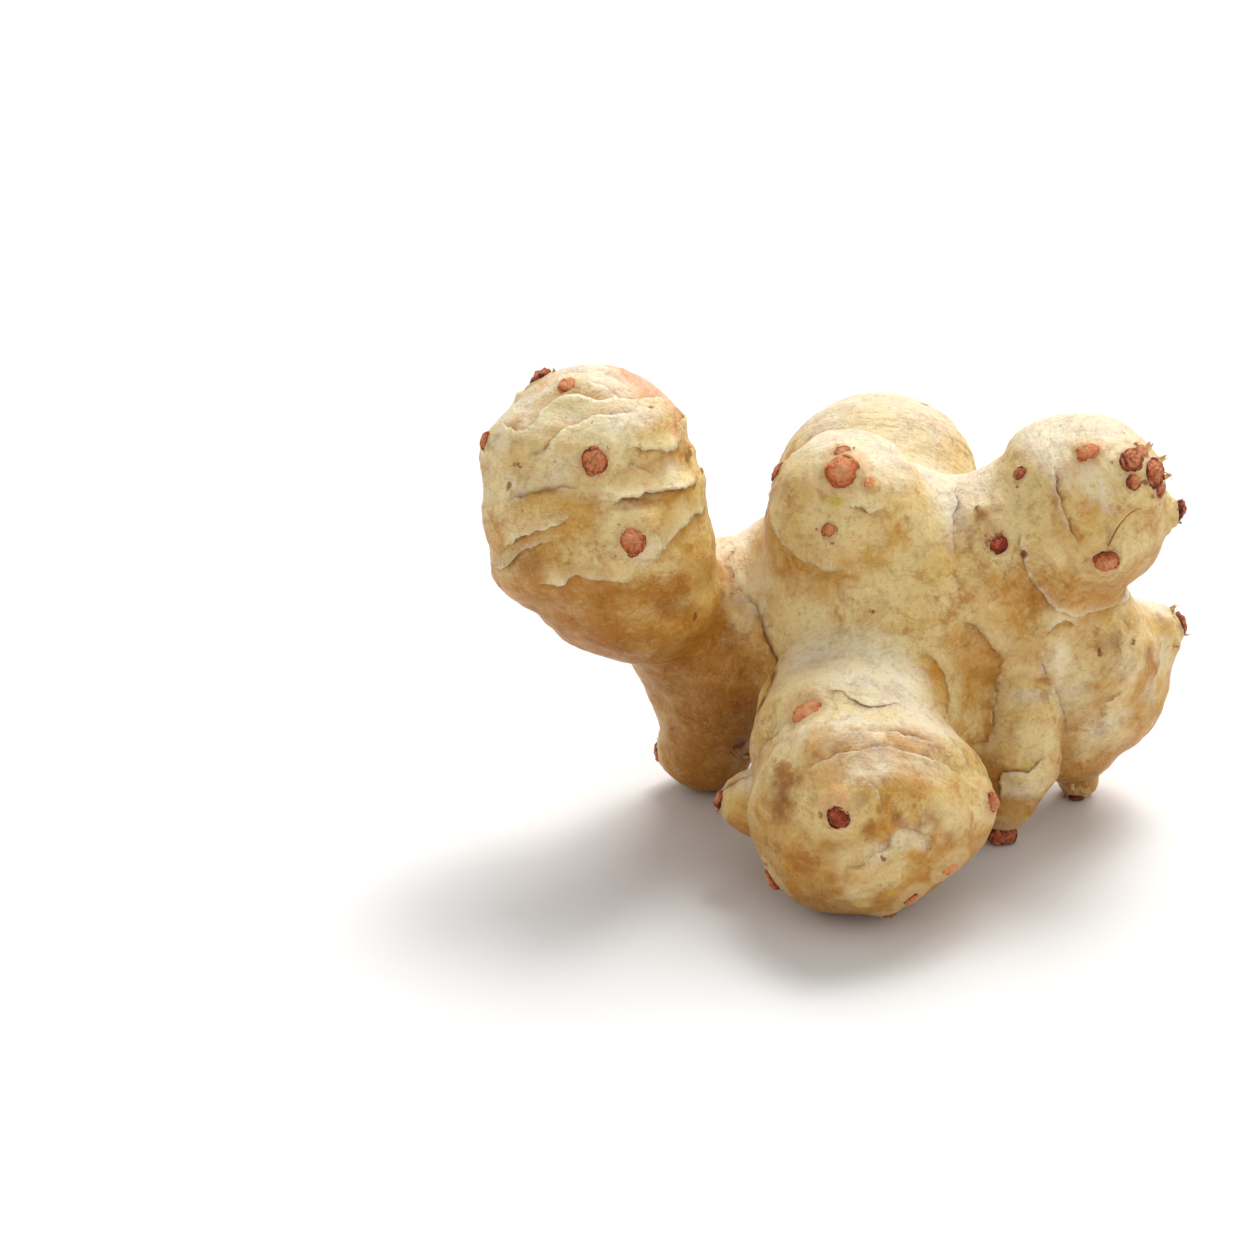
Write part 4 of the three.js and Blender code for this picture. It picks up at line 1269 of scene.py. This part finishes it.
def skin_material():
    s = Shades("tuber_skin")
    cloud = s.noise(75, 5, 0.6)
    blotch = s.noise(240, 7, 0.7)
    fine = s.noise(620, 6, 0.72)
    mottle = s.noise(1500, 4, 0.7)
    fibre = s.noise(1.0, 3, 0.6, s.stretched(s.times("along", 1.2), 90))
    sheet = s.noise(130, 9, 0.66, distortion=0.5)
    torn = s.times(s.ramp(s.off(sheet, 0.53), 0.006, 0.0), s.ramp(fine, 0.46, 0.6))
    colour = s.over(
        s.mix(s.ramp(cloud, 0.3, 0.7), CREAM, BASE),
        # The plain skin, its thin layers and its fibres, and a painted highlight on the skin that faces
        # up.
        (GOLD, s.ramp(blotch, 0.42, 0.75), 0.8),
        (TAN, s.ramp(s.noise(340, 6, 0.7), 0.5, 0.64), 0.7),
        (CREAM, s.ramp(sheet, 0.52, 0.58), 0.35),
        (BROWN, torn, 0.6),
        (TAN, s.times(s.ramp(fibre, 0.5, 0.75), "clear"), 0.3),
        (PALE_LIP_AND_HIGHLIGHT, s.ramp("top", 0.5, 0.9), 0.65),
        # Patches, some of them partly painted light and shade, and painted shade in the creases and on
        # the undersides.
        (GOLD, s.patch("tan", blotch, 0.0, 1.3), 0.7),
        (PINK, s.patch("pink", fibre, 0.0, 1.1), 0.72),
        (BROWN, s.patch("brown", blotch, 0.0, 1.3), 0.78),
        (BROWN, s.ramp("crease", 0.4, 1.0), 0.5),
        (GOLD, s.ramp("under", 0.0, 0.4), 0.5),
        (BROWN, s.times("under", s.ramp(blotch, 0.2, 0.7, 0.6, 1.0)), 0.75),
        (CREAM, s.patch("pale", blotch, 0.0, 1.2), 0.75),
        # Round the buds.
        (CREAM, s.ramp("halo", 0.0, 0.7), 0.35),
        (RIM, s.times(s.ramp("halo", 0.72, 1.0), s.ramp(fine, 0.3, 0.55)), 0.6),
        (CREAM, "collar", 0.3),
        # Small patches, mottling, torn edges with a pale lip that is partly a painted highlight and a
        # painted shadow on their low side, and specks.
        (YELLOW, s.patch("yellow", fine, 0.15, 1.0), 0.6),
        (TAN, s.ramp(mottle, 0.5, 0.7), 0.35),
        (CREAM, s.ramp(mottle, 0.46, 0.3), 0.25),
        (BROWN, s.times("rust", s.ramp(s.noise(420, 3), 0.35, 0.55)), 0.8),
        (PALE_LIP_AND_HIGHLIGHT, s.times("lip", s.ramp(fine, 0.3, 0.6)), 0.5),
        (BROWN, s.times("shade", s.ramp(s.noise(520, 2), 0.38, 0.6, 0.2, 1.0)), 0.95),
        (SPECK, s.patch("dark", s.noise(1000, 5, 0.75), 0.5, 0.9), 0.9),
        (SPECK, s.times(s.specks(360, 0.14, 0.16), s.ramp(blotch, 0.4, 0.5)), 0.75),
        (SPECK, s.times(s.specks(900, 0.16, 0.22), s.ramp(fine, 0.42, 0.52)), 0.28),
    )
    grain = s.bump(mottle, 0.00022, 0.6)
    layers = s.bump(s.ramp(sheet, 0.51, 0.55), 0.0003, 0.5, grain)
    folds = s.bump(s.noise(480, 6, 0.66), 0.0009, 0.65, layers)
    ridges = s.bump(fibre, 0.0006, 0.4, folds)
    return s.finish(colour, s.ramp(blotch, 0.3, 0.7, 0.26, 0.46), ridges, subsurface=0.3)


def bud_material():
    s = Shades("bud_scales")
    along = s.math("ADD", "along", s.math("MULTIPLY_ADD", s.noise(620, 4, 0.7), 1.8, -0.9))
    grains = s.noise(1200, 5, 0.8)
    fresh = s.mix(s.ramp(along, 0.1, 0.7), linear(176, 58, 20), linear(240, 128, 64))
    # A painted highlight at each bud's middle, here on its fresh colour and below on its old one.
    fresh = s.over(fresh, (linear(255, 190, 130), s.ramp(along, 0.5, 1.05), 0.85))
    old = s.mix(s.ramp(along, 0.2, 1.0), linear(84, 24, 10), linear(168, 60, 28))
    old = s.over(old, (linear(236, 150, 96), s.ramp(along, 0.95, 1.3), 0.6))
    rim = s.times(s.ramp(along, 0.7, 0.2, 0.1, 1.0), s.ramp("age", 0.18, 0.35, 0.2, 1.0))
    crack = s.ramp(s.off(s.noise(420, 5, 0.62), 0.5), 0.05, 0.0)
    crack = s.times(crack, s.ramp("age", 0.2, 0.5, 0.3, 1.0))
    healed = s.times(s.ramp(along, 0.5, 0.0), s.ramp("age", 0.28, 0.18))
    colour = s.over(
        s.mix("age", fresh, old),
        (linear(70, 20, 8), s.times(s.ramp(grains, 0.44, 0.56), rim), 0.9),
        (linear(112, 34, 14), crack, 0.55),
        (linear(214, 132, 78), healed, 0.6),
        # Painted glints in the pale grains.
        (linear(246, 190, 136), s.ramp(grains, 0.44, 0.34), 0.3),
    )
    grain = s.bump(crack, 0.0002, -0.6, s.bump(grains, 0.0004, 0.8))
    return s.finish(colour, 0.27, grain, subsurface=0.05)


def shred_material():
    s = Shades("dry_skin")
    patches = s.noise(500, 4, 0.6)
    colour = s.mix(s.ramp(patches, 0.35, 0.6), linear(232, 198, 142), linear(190, 126, 66))
    colour = s.over(colour, (linear(150, 78, 38), s.ramp("along", 0.5, 1.0), 0.6))
    return s.finish(colour, 0.6, s.bump(patches, 0.0002, 0.5), subsurface=0.2)


def rootlet_material():
    s = Shades("root_hair")
    colour = s.mix(s.ramp(s.noise(900, 3), 0.35, 0.65), linear(190, 116, 66), linear(122, 66, 34))
    return s.finish(colour, 0.6, s.bump(s.noise(3000, 2), 0.0001, 0.4))


def floor_material():
    s = Shades("floor")
    colour = s.mix(s.ramp(s.noise(3, 2), 0.3, 0.7), linear(238, 238, 237), linear(242, 242, 241))
    return s.finish(colour, 0.6)


# The stage. Its own lengths are in metres.
FLOOR_HALF = 3.0
FLOOR_DROP = 0.0002  # how far the floor is under the tuber's lowest points
SENSOR = 36  # the width of the camera's sensor, in millimetres


def add_floor():
    corners = [(x * FLOOR_HALF, y * FLOOR_HALF, 0) for x, y in ((-1, -1), (1, -1), (1, 1), (-1, 1))]
    mesh = bpy.data.meshes.new("floor")
    mesh.from_pydata(corners, [], [[0, 1, 2, 3]])
    floor = add_object("floor", mesh)
    floor.location.z = -FLOOR_DROP
    floor.data.materials.append(floor_material())


def add_sun(name, direction, strength, angle):
    lamp = bpy.data.lights.new(name, "SUN")
    lamp.energy = strength
    lamp.angle = math.radians(angle)
    sun = add_object(name, lamp)
    sun.rotation_euler = Vector(direction).to_track_quat("Z", "Y").to_euler()


def add_world(strength):
    world = bpy.data.worlds.new("studio")
    world.use_nodes = True
    background = world.node_tree.nodes["Background"]
    background.inputs["Color"].default_value = (1, 1, 1, 1)
    background.inputs["Strength"].default_value = strength
    bpy.context.scene.world = world


def add_camera():
    """The photograph's view: the whole frame, with the tuber where the photograph has it."""
    eye, _, _, back = view_axes()
    data = bpy.data.cameras.new("camera")
    data.sensor_width = SENSOR
    data.lens = SENSOR * CAMERA_DISTANCE / (MM_PER_PIXEL * FRAME_PIXELS)
    data.clip_start = 0.01
    camera = add_object("camera", data)
    camera.location = eye * MM
    camera.rotation_euler = Vector(back).to_track_quat("Z", "Y").to_euler()
    bpy.context.scene.camera = camera


def dress(piece, material):
    piece.data.materials.append(material)
    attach(piece, "root")


add_camera()
bud_list = all_buds()
skin_piece = make_skin(bud_list)
dress(skin_piece, skin_material())
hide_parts("tuber")
bud_piece = make_buds(bud_list)
dress(bud_piece, bud_material())
dress(make_shreds(bud_list), shred_material())
dress(make_rootlets(), rootlet_material())
add_floor()
add_sun("key", (0.3, 0.75, 1.0), 2.45, 44)
add_sun("glint", (0.25, 0.55, 1.0), 0.5, 14)
add_sun("fill", (1.0, -0.6, 0.45), 0.28, 60)
add_world(0.55)
bpy.context.scene.view_settings.view_transform = "Standard"
